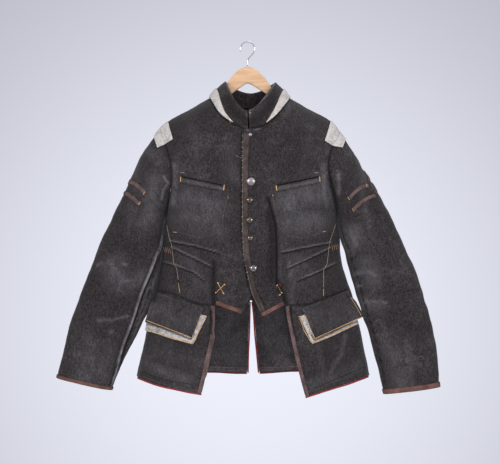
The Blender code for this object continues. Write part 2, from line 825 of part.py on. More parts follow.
def back_panel(side):
    armpit = BACK_ARMHOLE[side][-1].z
    neck = Path(BACK_NECK[side]).spread(even(BACK_NECK_COLUMNS))
    edge = BACK_EDGE[side]
    neck[0] = (edge[-1].x, edge[-1].z)
    shoulder = shoulder_seam(side)
    outer = side_spots(side, BACK_HEM, armpit, BACK_SIDE_ROWS)[:-1]
    outer += [ARMHOLE["back", side].at(share) for share in reversed(ARMHOLE_SHARES)]
    corner = (BACK_HEM_CORNER[side], BACK_HEM)
    hem = [mix(edge[0], corner, share) for share in even(BACK_NECK_COLUMNS)]
    hem += [mix(corner, outer[0], share) for share in toward_end(SHOULDER_COLUMNS, 1)]
    heights = [spot.z for spot in edge]
    lines = [spot.x for spot in edge]
    inner = []
    for i in range(BACK_SIDE_ROWS):
        z = BACK_HEM + (armpit - BACK_HEM) * i / BACK_SIDE_ROWS
        inner.append((smooth_value(heights, lines, z), z))
    for share in reversed(ARMHOLE_SHARES):
        inner.append((edge[-1].x, armpit + (edge[-1].z - armpit) * (1 - share)))
    grid = on_body(coons(hem, neck + shoulder, inner, outer), "back")
    return cloth(f"back_{side}", grid, CLOTH, "denim", flip=side == "left")


def sleeve_station(side, at):
    """The station at a whole or part number along the sleeve, from smooth curves."""
    table = SLEEVE[side]
    keys = list(range(len(table)))
    return Station(*(smooth_value(keys, column, at) for column in zip(*table)))


def ring_point(station, turn):
    """A point of a station's flattened ring. A turn of 0 is its outer end, 90 its front."""
    outer = Vector((station.outer_x, station.y, station.outer_z))
    inner = Vector((station.inner_x, station.y, station.inner_z))
    angle = math.radians(turn)
    forward = Vector((0, -station.half, 0)) * math.sin(angle)
    return (outer + inner) / 2 + (outer - inner) / 2 * math.cos(angle) + forward


def armhole_point(side, turn):
    """The body's armhole seam at a turn of the sleeve's first ring, a little outside it."""
    face = "front" if turn <= 180.0 else "back"
    half_turn = turn if face == "front" else 360.0 - turn
    share = (1 - math.cos(math.radians(half_turn))) / 2
    first = 180.0 / RING_HALF_COUNT
    if half_turn < first:
        share = FIRST_ARMHOLE_SHARE * half_turn / first
    elif half_turn < 2 * first:
        share = FIRST_ARMHOLE_SHARE + (ARMHOLE_SHARES[2] - FIRST_ARMHOLE_SHARE) * (half_turn - first) / first
    point = body_point(ARMHOLE[face, side].at(share), face)
    out = -1 if side == "right" else 1
    down = ARMHOLE_GAP_DOWN * math.cos(math.radians(half_turn))
    return point + Vector((out * ARMHOLE_GAP, 0, -down))


def sleeve_fold(side, at, turn):
    """How far the sleeve's folds sink the cloth at a place along it and round it."""
    sink = 0.0
    for fold in SLEEVE_FOLDS[side]:
        aside = (turn - fold.turn - fold.twist * (at - fold.station) + 180.0) % 360.0 - 180.0
        along = (at - fold.station) / fold.length
        sink += fold.sink * math.exp(-((aside / fold.width) ** 2) - along**2)
    return sink


def sleeve_point(side, at, turn):
    """A point of the sleeve's outer surface."""
    turn %= 360.0
    station = sleeve_station(side, at)
    point = ring_point(station, turn)
    keep = 1.0 - smooth_step(at / ARMHOLE_BLEND_STATIONS)
    if keep > 0:
        point += (armhole_point(side, turn) - ring_point(SLEEVE[side][0], turn)) * keep
    reach = math.dist((station.outer_x, station.outer_z), (station.inner_x, station.inner_z)) / 2
    outward = point - ring_point(station, 0) / 2 - ring_point(station, 180) / 2
    outward.y *= (reach / station.half) ** 2
    return point - outward.normalized() * sleeve_fold(side, at, turn)


def sleeve_normal(side, at, turn):
    """The way that the sleeve's outer surface faces."""
    along = sleeve_point(side, at + PATH_STEP, turn) - sleeve_point(side, at - PATH_STEP, turn)
    around = sleeve_point(side, at, turn + 1.0) - sleeve_point(side, at, turn - 1.0)
    outward = along.cross(around) if side == "right" else around.cross(along)
    return outward.normalized()


def over_sleeve(side, at, turn, lift):
    """A point moved out from the sleeve's outer surface by lift."""
    return sleeve_point(side, at, turn) + sleeve_normal(side, at, turn) * lift


def ring_turns():
    return [180.0 * i / RING_HALF_COUNT for i in range(2 * RING_HALF_COUNT)]


def seam_turns(side, at, first, last):
    """Turns of the ring from one seam to another, short of each by half the seam's gap."""
    turns = [180.0 * i / RING_HALF_COUNT for i in range(first, last + 1)]
    for i, step in ((0, 1.0), (-1, -1.0)):
        reach = (sleeve_point(side, at, turns[i] + step) - sleeve_point(side, at, turns[i])).length
        turns[i] += step * SEAM_HALF_GAP / reach
    return turns


def sleeve(side):
    """The two cut pieces of a sleeve. The upper one goes over the outer side."""
    round_turn = 2 * RING_HALF_COUNT
    stretches = {
        "upper": (-BACK_SLEEVE_SEAM, FRONT_SLEEVE_SEAM),
        "under": (FRONT_SLEEVE_SEAM, round_turn - BACK_SLEEVE_SEAM),
    }
    pieces = {}
    for name, (first, last) in stretches.items():
        grid = []
        for at in SLEEVE_ROWS:
            grid.append([sleeve_point(side, at, turn) for turn in seam_turns(side, at, first, last)])
        pieces[name] = cloth(f"sleeve_{name}_{side}", grid, CLOTH, "denim", flip=side == "right")
    return pieces["upper"]


def cuff_tape(side):
    last = SLEEVE_ROWS[-1]
    grid = [
        [over_sleeve(side, at, turn, TRIM_GAP + TRIM) for turn in ring_turns()]
        for at in (last - CUFF_TAPE_STATIONS, last)
    ]
    return cloth(f"cuff_tape_{side}", grid, TRIM, "tape", ring=True, flip=side == "right")


def chevron_arm(name, side, arm, surface):
    """One tape of a chevron, square at its ends and seated on the sleeve."""
    rows = []
    for share in even(CHEVRON_PARTS):
        at = arm.low_station + (arm.top_station - arm.low_station) * share
        turn = arm.low_turn + (arm.top_turn - arm.low_turn) * share
        middle = sleeve_point(side, at, turn)
        at_ahead = at + (arm.top_station - arm.low_station) * PATH_STEP
        turn_ahead = turn + (arm.top_turn - arm.low_turn) * PATH_STEP
        along = sleeve_point(side, at_ahead, turn_ahead) - middle
        outward = sleeve_normal(side, at, turn)
        across = along.cross(outward).normalized() * (CHEVRON_WIDTH / 2)
        row = [surface.nearest(middle + across * share_across) for share_across in (-1, 0, 1)]
        rows.append([place + outward * (CHEVRON_GAP + TRIM) for place in row])
    return cloth(name, rows, TRIM, "tape")


def chevrons(side, upper):
    surface = Surface([upper])
    for number, arms in enumerate(CHEVRONS[side], 1):
        for face, arm in arms.items():
            chevron_arm(f"chevron_{side}_{number}_{face}", side, arm, surface)


def shoulder_patch(side):
    """A short canvas patch over the top of the sleeve seam, on the body and on the sleeve."""
    inward = 1 if side == "right" else -1
    rows = []
    for turn in PATCH_TURNS:
        face = "front" if turn >= 0 else "back"
        share = (1 - math.cos(math.radians(turn))) / 2
        x, z = ARMHOLE[face, side].at(share)
        row = []
        for reach in PATCH_SHARES:
            inner_x = x + inward * PATCH_BODY_REACH[side] * reach
            rise = ridge_height(inner_x) - ridge_height(x)
            row.append(body_point((inner_x, z + rise), face, PATCH_LIFT + TRIM))
        for reach in reversed(PATCH_SHARES):
            sleeve_turn = turn * (1 + (PATCH_SLEEVE_TURN[side] - 1) * reach)
            row.append(over_sleeve(side, PATCH_SLEEVE_REACH * reach, sleeve_turn, PATCH_LIFT + TRIM))
        rows.append(row)
    return cloth(f"shoulder_patch_{side}", rows, TRIM, "canvas", flip=side == "left")


def collar_line(around, up):
    """A point of the collar's outer face, around it from 0 to 1 and up it from 0 to 1."""
    keys = even(len(COLLAR) - 1)
    neck = [body_point((row.neck_x, row.neck_z), row.face) for row in COLLAR]
    low = Vector([smooth_value(keys, column, around) for column in zip(*neck)])
    low.z += COLLAR_RISE
    tops = [(row.top_x, row.top_y, row.top_z) for row in COLLAR]
    top = Vector([smooth_value(keys, column, around) for column in zip(*tops)])
    point = low + (top - low) * up
    outward = Vector((point.x - CENTRE_X, point.y, 0)).normalized()
    return point + outward * (COLLAR_BULGE * math.sin(math.pi * up))


def collar_point(around, up, lift=0.0):
    """The same, moved out along the collar's own normal."""
    point = collar_line(around, up)
    if not lift:
        return point
    along = collar_line(around + PATH_STEP, up) - collar_line(around - PATH_STEP, up)
    upward = collar_line(around, up + PATH_STEP) - collar_line(around, up - PATH_STEP)
    return point + along.cross(upward).normalized() * lift


def collar_columns(first=0):
    """Shares round the collar from one row of its table to the same row at the other front."""
    last = len(COLLAR) - 1
    count = last * COLUMNS_A_COLLAR_ROW
    skip = first * COLUMNS_A_COLLAR_ROW
    return [i / count for i in range(skip, count - skip + 1)]


def collar():
    grid = [[collar_point(around, up) for around in collar_columns()] for up in even(COLLAR_ROWS)]
    return cloth("collar", grid, COLLAR_CLOTH, "denim")


def collar_stand():
    """The canvas band round the foot of the collar, running out to a point at each front."""
    keys = even(len(COLLAR) - 1)
    heights = [row.stand for row in COLLAR]
    grid = []
    for step in even(STAND_ROWS):
        row = []
        for around in collar_columns(STAND_FIRST):
            height = max(STAND_TIP, smooth_value(keys, heights, around))
            row.append(collar_point(around, STAND_LOW + height * step, TRIM_GAP + TRIM + STAND_LIFT))
        grid.append(row)
    return cloth("collar_stand", grid, TRIM, "canvas")


def quad_grid(corners, columns, rows):
    """A grid of places in the front view between four corners, from the low edge up."""
    grid = []
    for up in even(rows):
        inner = mix(corners.low_in, corners.top_in, up)
        outer = mix(corners.low_out, corners.top_out, up)
        grid.append([mix(inner, outer, share) for share in even(columns)])
    return grid


def welt(side, surface):
    grid = []
    for row in quad_grid(WELT[side], WELT_COLUMNS, 1):
        grid.append([surface.point(spot, "front", TRIM_GAP + TRIM) for spot in row])
    return cloth(f"chest_welt_{side}", grid, TRIM, "denim", flip=side == "right")


def flap_point(spot, lift):
    """A point over the skirt that runs on straight where the body turns round to its back."""
    x, z = spot
    sign = -1 if x < CENTRE_X else 1
    half = level_value("right" if sign < 0 else "left", z)
    limit = CENTRE_X + sign * half * FLAP_STRAIGHT_FROM
    if (x - limit) * sign <= 0:
        return body_point(spot, "front", lift)
    base = body_point((limit, z), "front", lift)
    before = body_point((limit - sign, z), "front", lift)
    return base + (base - before).normalized() * abs(x - limit) * FLAP_REACH


def hip_flap(side, name, corners, lift, thickness, finish):
    grid = []
    for i, row in enumerate(quad_grid(corners, FLAP_COLUMNS, FLAP_ROWS)):
        flare = FLAP_FLARE * (1 - i / FLAP_ROWS) ** FLAP_FLARE_POWER
        grid.append([flap_point(spot, lift + thickness + flare) for spot in row])
    return cloth(f"{name}_{side}", grid, thickness, finish, flip=side == "right")


def edge_lines(path, run, reaches, inward):
    """Rows of places in the front view along an edge, each as far from it as reaches says."""
    rows = []
    for share in even(run.parts):
        at = run.first + (run.last - run.first) * share
        x, z = path.at(at)
        ahead = path.at(at + PATH_STEP)
        behind = path.at(at - PATH_STEP)
        along = Vector((ahead[0] - behind[0], ahead[1] - behind[1])).normalized()
        across = Vector((-along.y, along.x)) * inward
        rows.append([(x + across.x * reach, z + across.y * reach) for reach in reaches])
    return rows


def strip(name, surface, path, width, inward, run):
    """A strip laid on a surface along its edge."""
    places = edge_lines(path, run, (STRIP_INSET, width), inward)
    rows = [[surface.point(spot, "front", TRIM_GAP + TRIM) for spot in row] for row in places]
    return cloth(name, rows, TRIM, "tape", flip=inward > 0)


def piping(name, path, outward, face, run):
    """A narrow edging just past an edge, as thick as the wall and a little proud of it."""
    places = edge_lines(path, run, (PIPING_GAP, PIPING_GAP + PIPING_WIDTH), outward)
    rows = on_body(places, face, PIPING_LIFT)
    return cloth(name, rows, PIPING_CLOTH, "piping", flip=(outward > 0) == (face == "front"))


def edge_pieces(side, front, skirt):
    """The strips and the edgings of one side."""
    sign = -1 if side == "right" else 1
    strip(f"skirt_strip_{side}", skirt, Path(SKIRT_EDGE[side]), STRIP_WIDTH, -sign, SKIRT_STRIP_RUN)
    strip(f"tail_strip_{side}", front, Path(FRONT_BOTTOM[side]), STRIP_WIDTH, sign, TAIL_STRIP_RUN)
    piping(f"skirt_piping_{side}", Path(SKIRT_HEM[side]), -sign, "front", SKIRT_PIPING_RUN)
    vent = [spot for spot in BACK_EDGE[side] if spot.z <= VENT_TOP]
    piping(f"vent_piping_{side}", Path(vent), sign, "back", VENT_PIPING_RUN)
    hem_end = (CENTRE_X + sign * level_value(side, BACK_HEM) * SIDE_SHARE, BACK_HEM)
    hem = Path([(vent[0].x, BACK_HEM), (BACK_HEM_CORNER[side], BACK_HEM), hem_end])
    piping(f"back_piping_{side}", hem, -sign, "back", BACK_PIPING_RUN)


def placket_strip(surface):
    """The worn strip along the over front's edge."""
    path = Path(FRONT_EDGE["left"])
    return strip("placket_strip", surface, path, PLACKET_WIDTH, -1, PLACKET_RUN)


def button(number, place, surface):
    """A domed shank button, turned about its own axis and set square on the front."""
    radius = place.across / 2
    foot = BUTTON_RIM * radius + SHANK_REACH
    profile = [(reach * radius, height * radius) for reach, height in BUTTON_DOME]
    profile += [(SHANK_RADIUS * radius, -foot), (0.0, -foot)]
    mesh = bpy.data.meshes.new(f"button_{number}")
    points = [(x * MM, 0.0, z * MM) for x, z in profile]
    edges = [(i, i + 1) for i in range(len(points) - 1)]
    mesh.from_pydata(points, edges, [])
    obj = add_object(f"button_{number}", mesh, "button")
    turn = obj.modifiers.new("Turn", "SCREW")
    turn.steps = turn.render_steps = BUTTON_TURNS
    turn.use_merge_vertices = True
    turn.merge_threshold = 0.00005
    seat = surface.point((place.x, place.z), "front", 0.0)
    normal = (surface.point((place.x, place.z), "front", 1.0) - seat).normalized()
    obj.location = (seat + normal * (foot + BUTTON_LIFT)) * MM
    obj.rotation_euler = normal.to_track_quat("Z", "Y").to_euler()
    return obj


def hanger():
    """The wooden hanger: an arched neck and two arms that follow the shoulders inside."""
    outline = [(HANGER_NOTCH.x, HANGER_NOTCH.z)]
    for side in ("right", "left"):
        lower = [(spot.x, spot.z) for spot in HANGER_LOWER[side]]
        tip = HANGER_TIP[side]
        upper = [(spot.x, spot.z) for spot in HANGER_UPPER[side]]
        shoulder = []
        for share in HANGER_SHOULDER_SHARES:
            x = upper[-1][0] + (tip - upper[-1][0]) * share
            shoulder.append((x, ridge_height(x) - HANGER_BELOW_RIDGE))
        end = (tip + math.copysign(HANGER_TIP_BULGE, tip), shoulder[-1][1] - HANGER_TIP_DROP)
        stretch = lower + [end] + shoulder[::-1] + upper[::-1]
        if side == "right":
            outline += stretch + [(0.0, HANGER_TOP)]
        else:
            outline += stretch[::-1]
    curve = bpy.data.curves.new("hanger", "CURVE")
    curve.dimensions = "2D"
    curve.fill_mode = "BOTH"
    curve.extrude = HANGER_THICKNESS / 2 * MM
    spline = curve.splines.new("POLY")
    spline.points.add(len(outline) - 1)
    for point, (x, z) in zip(spline.points, outline):
        point.co = (x * MM, z * MM, 0.0, 1.0)
    spline.use_cyclic_u = True
    obj = add_object("hanger", curve, "wood")
    obj.rotation_euler = (math.pi / 2, 0, 0)
    weld = obj.modifiers.new("Weld", "WELD")
    weld.merge_threshold = 0.00001
    edge = obj.modifiers.new("Edge", "BEVEL")
    edge.width = HANGER_ROUNDING * MM
    edge.segments = 2
    edge.limit_method = "ANGLE"
    edge.angle_limit = math.radians(50)
    return obj


def hook():
    """The wire hook: most of a circle over the rail, then a stem down to the wood."""
    middle = Vector((0.0, HOOK_WIRE / 2 - HOOK_RADIUS))
    route = []
    for degrees in range(HOOK_FIRST_DEGREES, HOOK_LAST_DEGREES, -HOOK_STEP_DEGREES):
        angle = math.radians(degrees)
        route.append((middle.x + HOOK_RADIUS * math.cos(angle), middle.y + HOOK_RADIUS * math.sin(angle)))
    route += [(spot.x, spot.z) for spot in HOOK_STEM]
    line = Path(route)
    curve = bpy.data.curves.new("hook", "CURVE")
    curve.dimensions = "3D"
    curve.bevel_depth = HOOK_WIRE / 2 * MM
    curve.bevel_resolution = 2
    curve.use_fill_caps = True
    spline = curve.splines.new("POLY")
    shares = even(HOOK_PARTS)
    spline.points.add(len(shares) - 1)
    for point, share in zip(spline.points, shares):
        x, z = line.at(share)
        point.co = (x * MM, 0.0, z * MM, 1.0)
    return add_object("hook", curve, "steel")


def build():
    hanger()
    hook()
    fronts = {}
    for side in ("right", "left"):
        fronts[side] = front_panel(side)
        skirt = skirt_panel(side)
        back_panel(side)
        front_surface = Surface([fronts[side]])
        edge_pieces(side, front_surface, Surface([skirt]))
        welt(side, front_surface)
        hip_flap(side, "under_flap", UNDER_FLAP[side], UNDER_FLAP_LIFT, UNDER_FLAP_CLOTH, "canvas")
        hip_flap(side, "hip_flap", FLAP[side], FLAP_LIFT, CLOTH, "denim")
        chevrons(side, sleeve(side))
        cuff_tape(side)
        shoulder_patch(side)
    collar()
    collar_stand()
    over_front = Surface([fronts["left"]])
    strip_edge = placket_strip(over_front)
    button_bed = Surface([fronts["left"], strip_edge])
    for number, place in enumerate(BUTTONS, 1):
        button(number, place, button_bed)


clear_scene()
JACKET = new_collection("Military jacket")
build()
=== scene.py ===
"""Looks of a short military-style denim jacket that hangs on a wooden hanger.

Each cloth panel is a copy of its CAD panel, welded, smoothed and pressed into folds that are placed
one by one. Places on the front are given in steps across and down the picture, as the camera sees them:
one step is 2.4 mm at the jacket. The stitching, buttons, hanger and the plain studio are built here.
"""

from __future__ import annotations

import json
import logging
import math
import random
from dataclasses import dataclass, field, replace
from enum import Enum
from typing import Sequence

import bmesh
import bpy
import numpy as np
from mathutils import Matrix, Vector
from mathutils.bvhtree import BVHTree
from mathutils.kdtree import KDTree

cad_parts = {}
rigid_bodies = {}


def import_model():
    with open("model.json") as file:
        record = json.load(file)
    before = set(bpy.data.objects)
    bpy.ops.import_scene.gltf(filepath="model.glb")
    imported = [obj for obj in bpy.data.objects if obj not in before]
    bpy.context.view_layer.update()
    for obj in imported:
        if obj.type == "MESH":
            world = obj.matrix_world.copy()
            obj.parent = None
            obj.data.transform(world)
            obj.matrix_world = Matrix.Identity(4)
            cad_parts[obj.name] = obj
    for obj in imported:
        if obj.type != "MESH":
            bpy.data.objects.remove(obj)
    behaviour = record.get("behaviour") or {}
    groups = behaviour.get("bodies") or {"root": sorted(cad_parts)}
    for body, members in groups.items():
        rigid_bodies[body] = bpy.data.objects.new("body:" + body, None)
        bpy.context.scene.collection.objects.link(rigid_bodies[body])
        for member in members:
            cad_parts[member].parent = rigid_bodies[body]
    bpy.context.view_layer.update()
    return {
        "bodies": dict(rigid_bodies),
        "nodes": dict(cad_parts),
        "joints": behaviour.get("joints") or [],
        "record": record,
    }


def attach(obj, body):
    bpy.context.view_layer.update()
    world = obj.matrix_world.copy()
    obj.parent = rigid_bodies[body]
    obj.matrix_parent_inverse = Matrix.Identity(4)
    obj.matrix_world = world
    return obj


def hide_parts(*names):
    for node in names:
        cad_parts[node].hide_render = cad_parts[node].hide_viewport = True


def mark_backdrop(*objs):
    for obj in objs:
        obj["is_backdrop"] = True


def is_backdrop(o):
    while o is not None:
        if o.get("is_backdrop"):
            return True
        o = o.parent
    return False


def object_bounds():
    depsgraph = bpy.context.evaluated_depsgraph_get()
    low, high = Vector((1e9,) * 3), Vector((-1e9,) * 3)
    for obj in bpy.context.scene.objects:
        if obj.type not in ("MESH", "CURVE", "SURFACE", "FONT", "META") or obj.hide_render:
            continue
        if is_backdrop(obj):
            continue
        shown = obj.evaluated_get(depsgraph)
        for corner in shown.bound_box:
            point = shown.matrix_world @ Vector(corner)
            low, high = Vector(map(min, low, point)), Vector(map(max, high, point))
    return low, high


log = logging.getLogger("jacket")

Colour = tuple[float, float, float]
Spot = tuple[float, float]

MM = 0.001
STEP = 2.4 * MM
EYE = Vector((0.006, -2.8, -0.4548))
PICTURE_MIDDLE = (250.0, 232.0)
LENS, SENSOR = 84.0, 36.0

BODY_CENTRE_X = 6 * MM
WELD = 0.01 * MM
SEAM_REACH = 2.6 * MM
SEAM_SHARE = 0.45
SHARP_ANGLE = math.radians(36)
EDGE_CREASE = 0.5
CORNER_CREASE = 0.6
SHOULDER_FOOT = -0.22
SHOULDER_REACH = 6 * MM
SHOULDER_GAP = 0.04
EDGE_WIDTH = 7 * MM
SEAM_WIDTH = 4.5 * MM
EDGE_CORE = 0.5 * MM
EDGE_POINTS = 6
SEAM_DARKNESS = 0.75
SHOULDER_JOINS = 4
ARMHOLE_BAND = (1.0, 14.0)
FAR = 1e9
TINY = 1e-9
CLOTH_WELD = (50, 75)
HANGER_WELD = (40, 60)


# Shader building


class Wire:
    """One value in a shader. It adds, multiplies and so on like a number."""

    def __init__(self, shader: Shader, socket: bpy.types.NodeSocket) -> None:
        """Keep the shader that the value belongs to and the socket that gives it."""
        self.shader = shader
        self.socket = socket

    def __add__(self, other: Wire | float) -> Wire:
        """Sum of two values."""
        return self.shader.maths("ADD", self, other)

    __radd__ = __add__

    def __sub__(self, other: Wire | float) -> Wire:
        """This value less another."""
        return self.shader.maths("SUBTRACT", self, other)

    def __rsub__(self, other: Wire | float) -> Wire:
        """Another value less this one."""
        return self.shader.maths("SUBTRACT", other, self)

    def __mul__(self, other: Wire | float) -> Wire:
        """Product of two values."""
        return self.shader.maths("MULTIPLY", self, other)

    __rmul__ = __mul__


class Shader:
    """Builds one material's node tree."""

    def __init__(self, name: str) -> None:
        """Start an empty material.

        Args:
            name: The material's name.
        """
        self.material = bpy.data.materials.new(name)
        self.material.use_nodes = True
        self.tree = self.material.node_tree
        self.tree.nodes.clear()

    def node(
        self, kind: str, settings: dict[str, object], inputs: dict[str | int, object], out: int = 0
    ) -> Wire:
        """Add a node.

        Args:
            kind: The node's type.
            settings: Its properties, set before the inputs.
            inputs: Its inputs by name or number, each a wire or a constant.
            out: Which output to return.

        Returns:
            The wire of that output.
        """
        made = self.tree.nodes.new(kind)
        for key, value in settings.items():
            setattr(made, key, value)
        for key, value in inputs.items():
            if isinstance(value, Wire):
                self.tree.links.new(value.socket, made.inputs[key])
            else:
                made.inputs[key].default_value = value
        return Wire(self, made.outputs[out])

    def maths(self, operation: str, a: Wire | float, b: Wire | float = 0.0) -> Wire:
        """One step of arithmetic on two values."""
        return self.node("ShaderNodeMath", {"operation": operation}, {0: a, 1: b})

    def remap(
        self, value: Wire, low: float, high: float, to_low: float = 0.0, to_high: float = 1.0
    ) -> Wire:
        """Spread a value smoothly from one range over another, held at its ends.

        Args:
            value: The value.
            low: Where the first range starts.
            high: Where it ends.
            to_low: Where the second range starts.
            to_high: Where it ends.

        Returns:
            The spread value.
        """
        settings = {"interpolation_type": "SMOOTHSTEP"}
        inputs = {0: value, 1: low, 2: high, 3: to_low, 4: to_high}
        return self.node("ShaderNodeMapRange", settings, inputs)

    def blend(self, share: Wire | float, a: Wire | Colour, b: Wire | Colour) -> Wire:
        """Mix two colours.

        Args:
            share: How much of the second shows, from 0 to 1.
            a: The first colour.
            b: The second colour.

        Returns:
            The mixed colour.
        """
        first = a if isinstance(a, Wire) else (*a, 1.0)
        second = b if isinstance(b, Wire) else (*b, 1.0)
        settings = {"data_type": "RGBA", "clamp_factor": True}
        return self.node("ShaderNodeMix", settings, {0: share, 6: first, 7: second}, 2)

    def grain(self) -> Wire:
        """Where a point lies on the flat cloth, in metres across and along it."""
        return self.node("ShaderNodeUVMap", {"uv_map": "grain"}, {})

    def place(self) -> Wire:
        """Where a point lies in the object, in metres."""
        return self.node("ShaderNodeTexCoord", {}, {}, 3)

    def value_of(self, attribute: str) -> Wire:
        """A number that the mesh carries at each point."""
        return self.node("ShaderNodeAttribute", {"attribute_name": attribute}, {}, 2)

    def stretched(self, vector: Wire, scales: Colour) -> Wire:
        """A place with each of its directions scaled on its own."""
        return self.node("ShaderNodeVectorMath", {"operation": "MULTIPLY"}, {0: vector, 1: scales})

    def noise(self, vector: Wire, scale: float, detail: float = 2.0, rough: float = 0.5) -> Wire:
        """Smooth random values about 0.5."""
        inputs = {"Vector": vector, "Scale": scale, "Detail": detail, "Roughness": rough}
        return self.node("ShaderNodeTexNoise", {}, inputs)

    def bump(self, height: Wire, depth: float, strength: float = 1.0) -> Wire:
        """Tilt the surface by a height.

        Args:
            height: The height, from 0 to 1.
            depth: How deep a height of 1 is, in metres.
            strength: How much of the tilt shows.

        Returns:
            The tilted normal.
        """
        inputs = {"Strength": strength, "Distance": depth, "Height": height}
        return self.node("ShaderNodeBump", {}, inputs)

    def surface(self, inputs: dict[str, object]) -> bpy.types.Material:
        """Close the material with one Principled shader.

        Args:
            inputs: The shader's inputs, each a wire or a constant.

        Returns:
            The finished material.
        """
        skin = self.node("ShaderNodeBsdfPrincipled", {}, inputs)
        output = self.tree.nodes.new("ShaderNodeOutputMaterial")
        self.tree.links.new(skin.socket, output.inputs["Surface"])
        return self.material


# Finishes


@dataclass(frozen=True)
class Denim:
    """Worn charcoal denim with a grey fleck."""

    name: str = "denim"
    deep: Colour = (0.0095, 0.0082, 0.0092)
    fleck: Colour = (0.080, 0.071, 0.078)
    warm: Colour = (0.068, 0.049, 0.047)
    worn: Colour = (0.225, 0.215, 0.232)
    painted_shade_tint: Colour = (0.003, 0.0026, 0.003)

    def material(self) -> bpy.types.Material:
        """Build the finish.

        Returns:
            The material.
        """
        shader = Shader(self.name)
        grain = shader.grain()
        place = shader.place()
        slub = shader.noise(shader.stretched(place, (400.0, 400.0, 90.0)), 1.0, 3.0, 0.65)
        speck = shader.noise(place, 330.0, 4.0, 0.8)
        fine = shader.noise(place, 900.0, 2.0, 0.6)
        cloud = shader.noise(place, 13.0, 5.0, 0.62)
        scuff = shader.noise(place, 34.0, 4.0, 0.6)
        wear_and_painted_light = shader.value_of("wear_and_painted_light")
        edge = shader.value_of("edge")
        seam = shader.value_of("seam")
        mottle = slub * 0.24 + speck * 0.50 + fine * 0.26
        twill = shader.node(
            "ShaderNodeTexWave",
            {"wave_type": "BANDS", "bands_direction": "DIAGONAL"},
            {"Vector": grain, "Scale": 330.0, "Distortion": 1.2, "Detail": 1.0, "Detail Scale": 2.0},
            1,
        )
        fleck = shader.remap(mottle + (cloud - 0.5) * 0.10 + (twill - 0.5) * 0.07, 0.40, 0.64)
        tint = shader.remap(shader.noise(place, 210.0, 2.0), 0.46, 0.62)
        yarn = shader.blend(tint, self.fleck, self.warm)
        cloth = shader.blend(fleck * 0.70, self.deep, yarn)
        ridge = 1.0 - shader.maths("ABSOLUTE", scuff - 0.5) * 14.0
        creased = shader.maths("MAXIMUM", ridge, 0.0) * shader.remap(cloud, 0.46, 0.64) * 0.20
        broken = mottle * 1.7 + scuff * 1.3 - 1.0
        rubbed = wear_and_painted_light * shader.remap(broken, 0.0, 1.0, 0.14, 1.0)
        edge_rub = edge * shader.remap(speck * 0.6 + cloud * 0.4, 0.45, 0.62) * 0.16
        share = rubbed + creased * fleck + edge_rub
        colour = shader.blend(share, cloth, self.worn)
        # Painted shade: the seam values darken the denim in grooves, under laps and flaps, and along sewn
        # seams.
        colour = shader.blend(seam, colour, self.painted_shade_tint)
        tilt = shader.bump(mottle * 0.7 + twill * 0.3, 0.6 * MM, 0.6)
        return shader.surface(
            {
                "Base Color": colour,
                "Roughness": 0.95,
                "Normal": tilt,
                "Specular IOR Level": 0.10,
                "Sheen Weight": 0.12,
                "Sheen Roughness": 0.5,
            }
        )


@dataclass(frozen=True)
class Weave:
    """A plain woven cloth in two yarns, for tape, canvas and cord."""

    name: str
    dark: Colour
    light: Colour
    scale: float = 900.0
    rub: Colour = (0.4, 0.36, 0.34)
    rub_share: float = 0.0
    painted_shade_tint: Colour = (0.008, 0.006, 0.006)

    def material(self) -> bpy.types.Material:
        """Build the finish.

        Returns:
            The material.
        """
        shader = Shader(self.name)
        place = shader.place()
        yarn = shader.noise(place, self.scale, 3.0, 0.7)
        patch = shader.noise(place, self.scale * 0.11, 3.0)
        share = shader.remap(yarn * 0.6 + patch * 0.4, 0.36, 0.64)
        cloth = shader.blend(share, self.dark, self.light)
        rub = shader.remap(patch, 0.52, 0.66) * self.rub_share
        colour = shader.blend(rub, cloth, self.rub)
        # Painted shade: the seam values darken tape, canvas and cord where folds and flaps shadow them.
        colour = shader.blend(shader.value_of("seam"), colour, self.painted_shade_tint)
        tilt = shader.bump(yarn, 0.4 * MM, 0.5)
        return shader.surface(
            {"Base Color": colour, "Roughness": 0.9, "Normal": tilt, "Specular IOR Level": 0.15}
        )


@dataclass(frozen=True)
class Metal:
    """A metal with dull patches."""

    name: str
    bright: Colour
    dull: Colour
    smooth: float = 0.22
    rough: float = 0.5
    lower_shade: Colour = (0.075, 0.045, 0.032)

    def material(self) -> bpy.types.Material:
        """Build the finish.

        Returns:
            The material.
        """
        shader = Shader(self.name)
        patch = shader.remap(shader.noise(shader.place(), 150.0, 2.0), 0.4, 0.66)
        colour = shader.blend(patch, self.bright, self.dull)
        # Painted shade: on the buttons the seam values darken the lower side of each dome.
        colour = shader.blend(shader.value_of("seam"), colour, self.lower_shade)
        rough = shader.remap(patch, 0.0, 1.0, self.smooth, self.rough)
        return shader.surface({"Base Color": colour, "Roughness": rough, "Metallic": 1.0})


@dataclass(frozen=True)
class Wood:
    """Pale varnished wood with a fine grain along the hanger."""

    name: str = "wood"
    light: Colour = (0.70, 0.455, 0.28)
    dark: Colour = (0.60, 0.37, 0.215)

    def material(self) -> bpy.types.Material:
        """Build the finish.

        Returns:
            The material.
        """
        shader = Shader(self.name)
        grain = shader.noise(shader.stretched(shader.place(), (12.0, 160.0, 160.0)), 1.0, 4.0)
        colour = shader.blend(shader.remap(grain, 0.38, 0.62), self.dark, self.light)
        return shader.surface(
            {"Base Color": colour, "Roughness": 0.42, "Coat Weight": 0.25, "Coat Roughness": 0.2}
        )


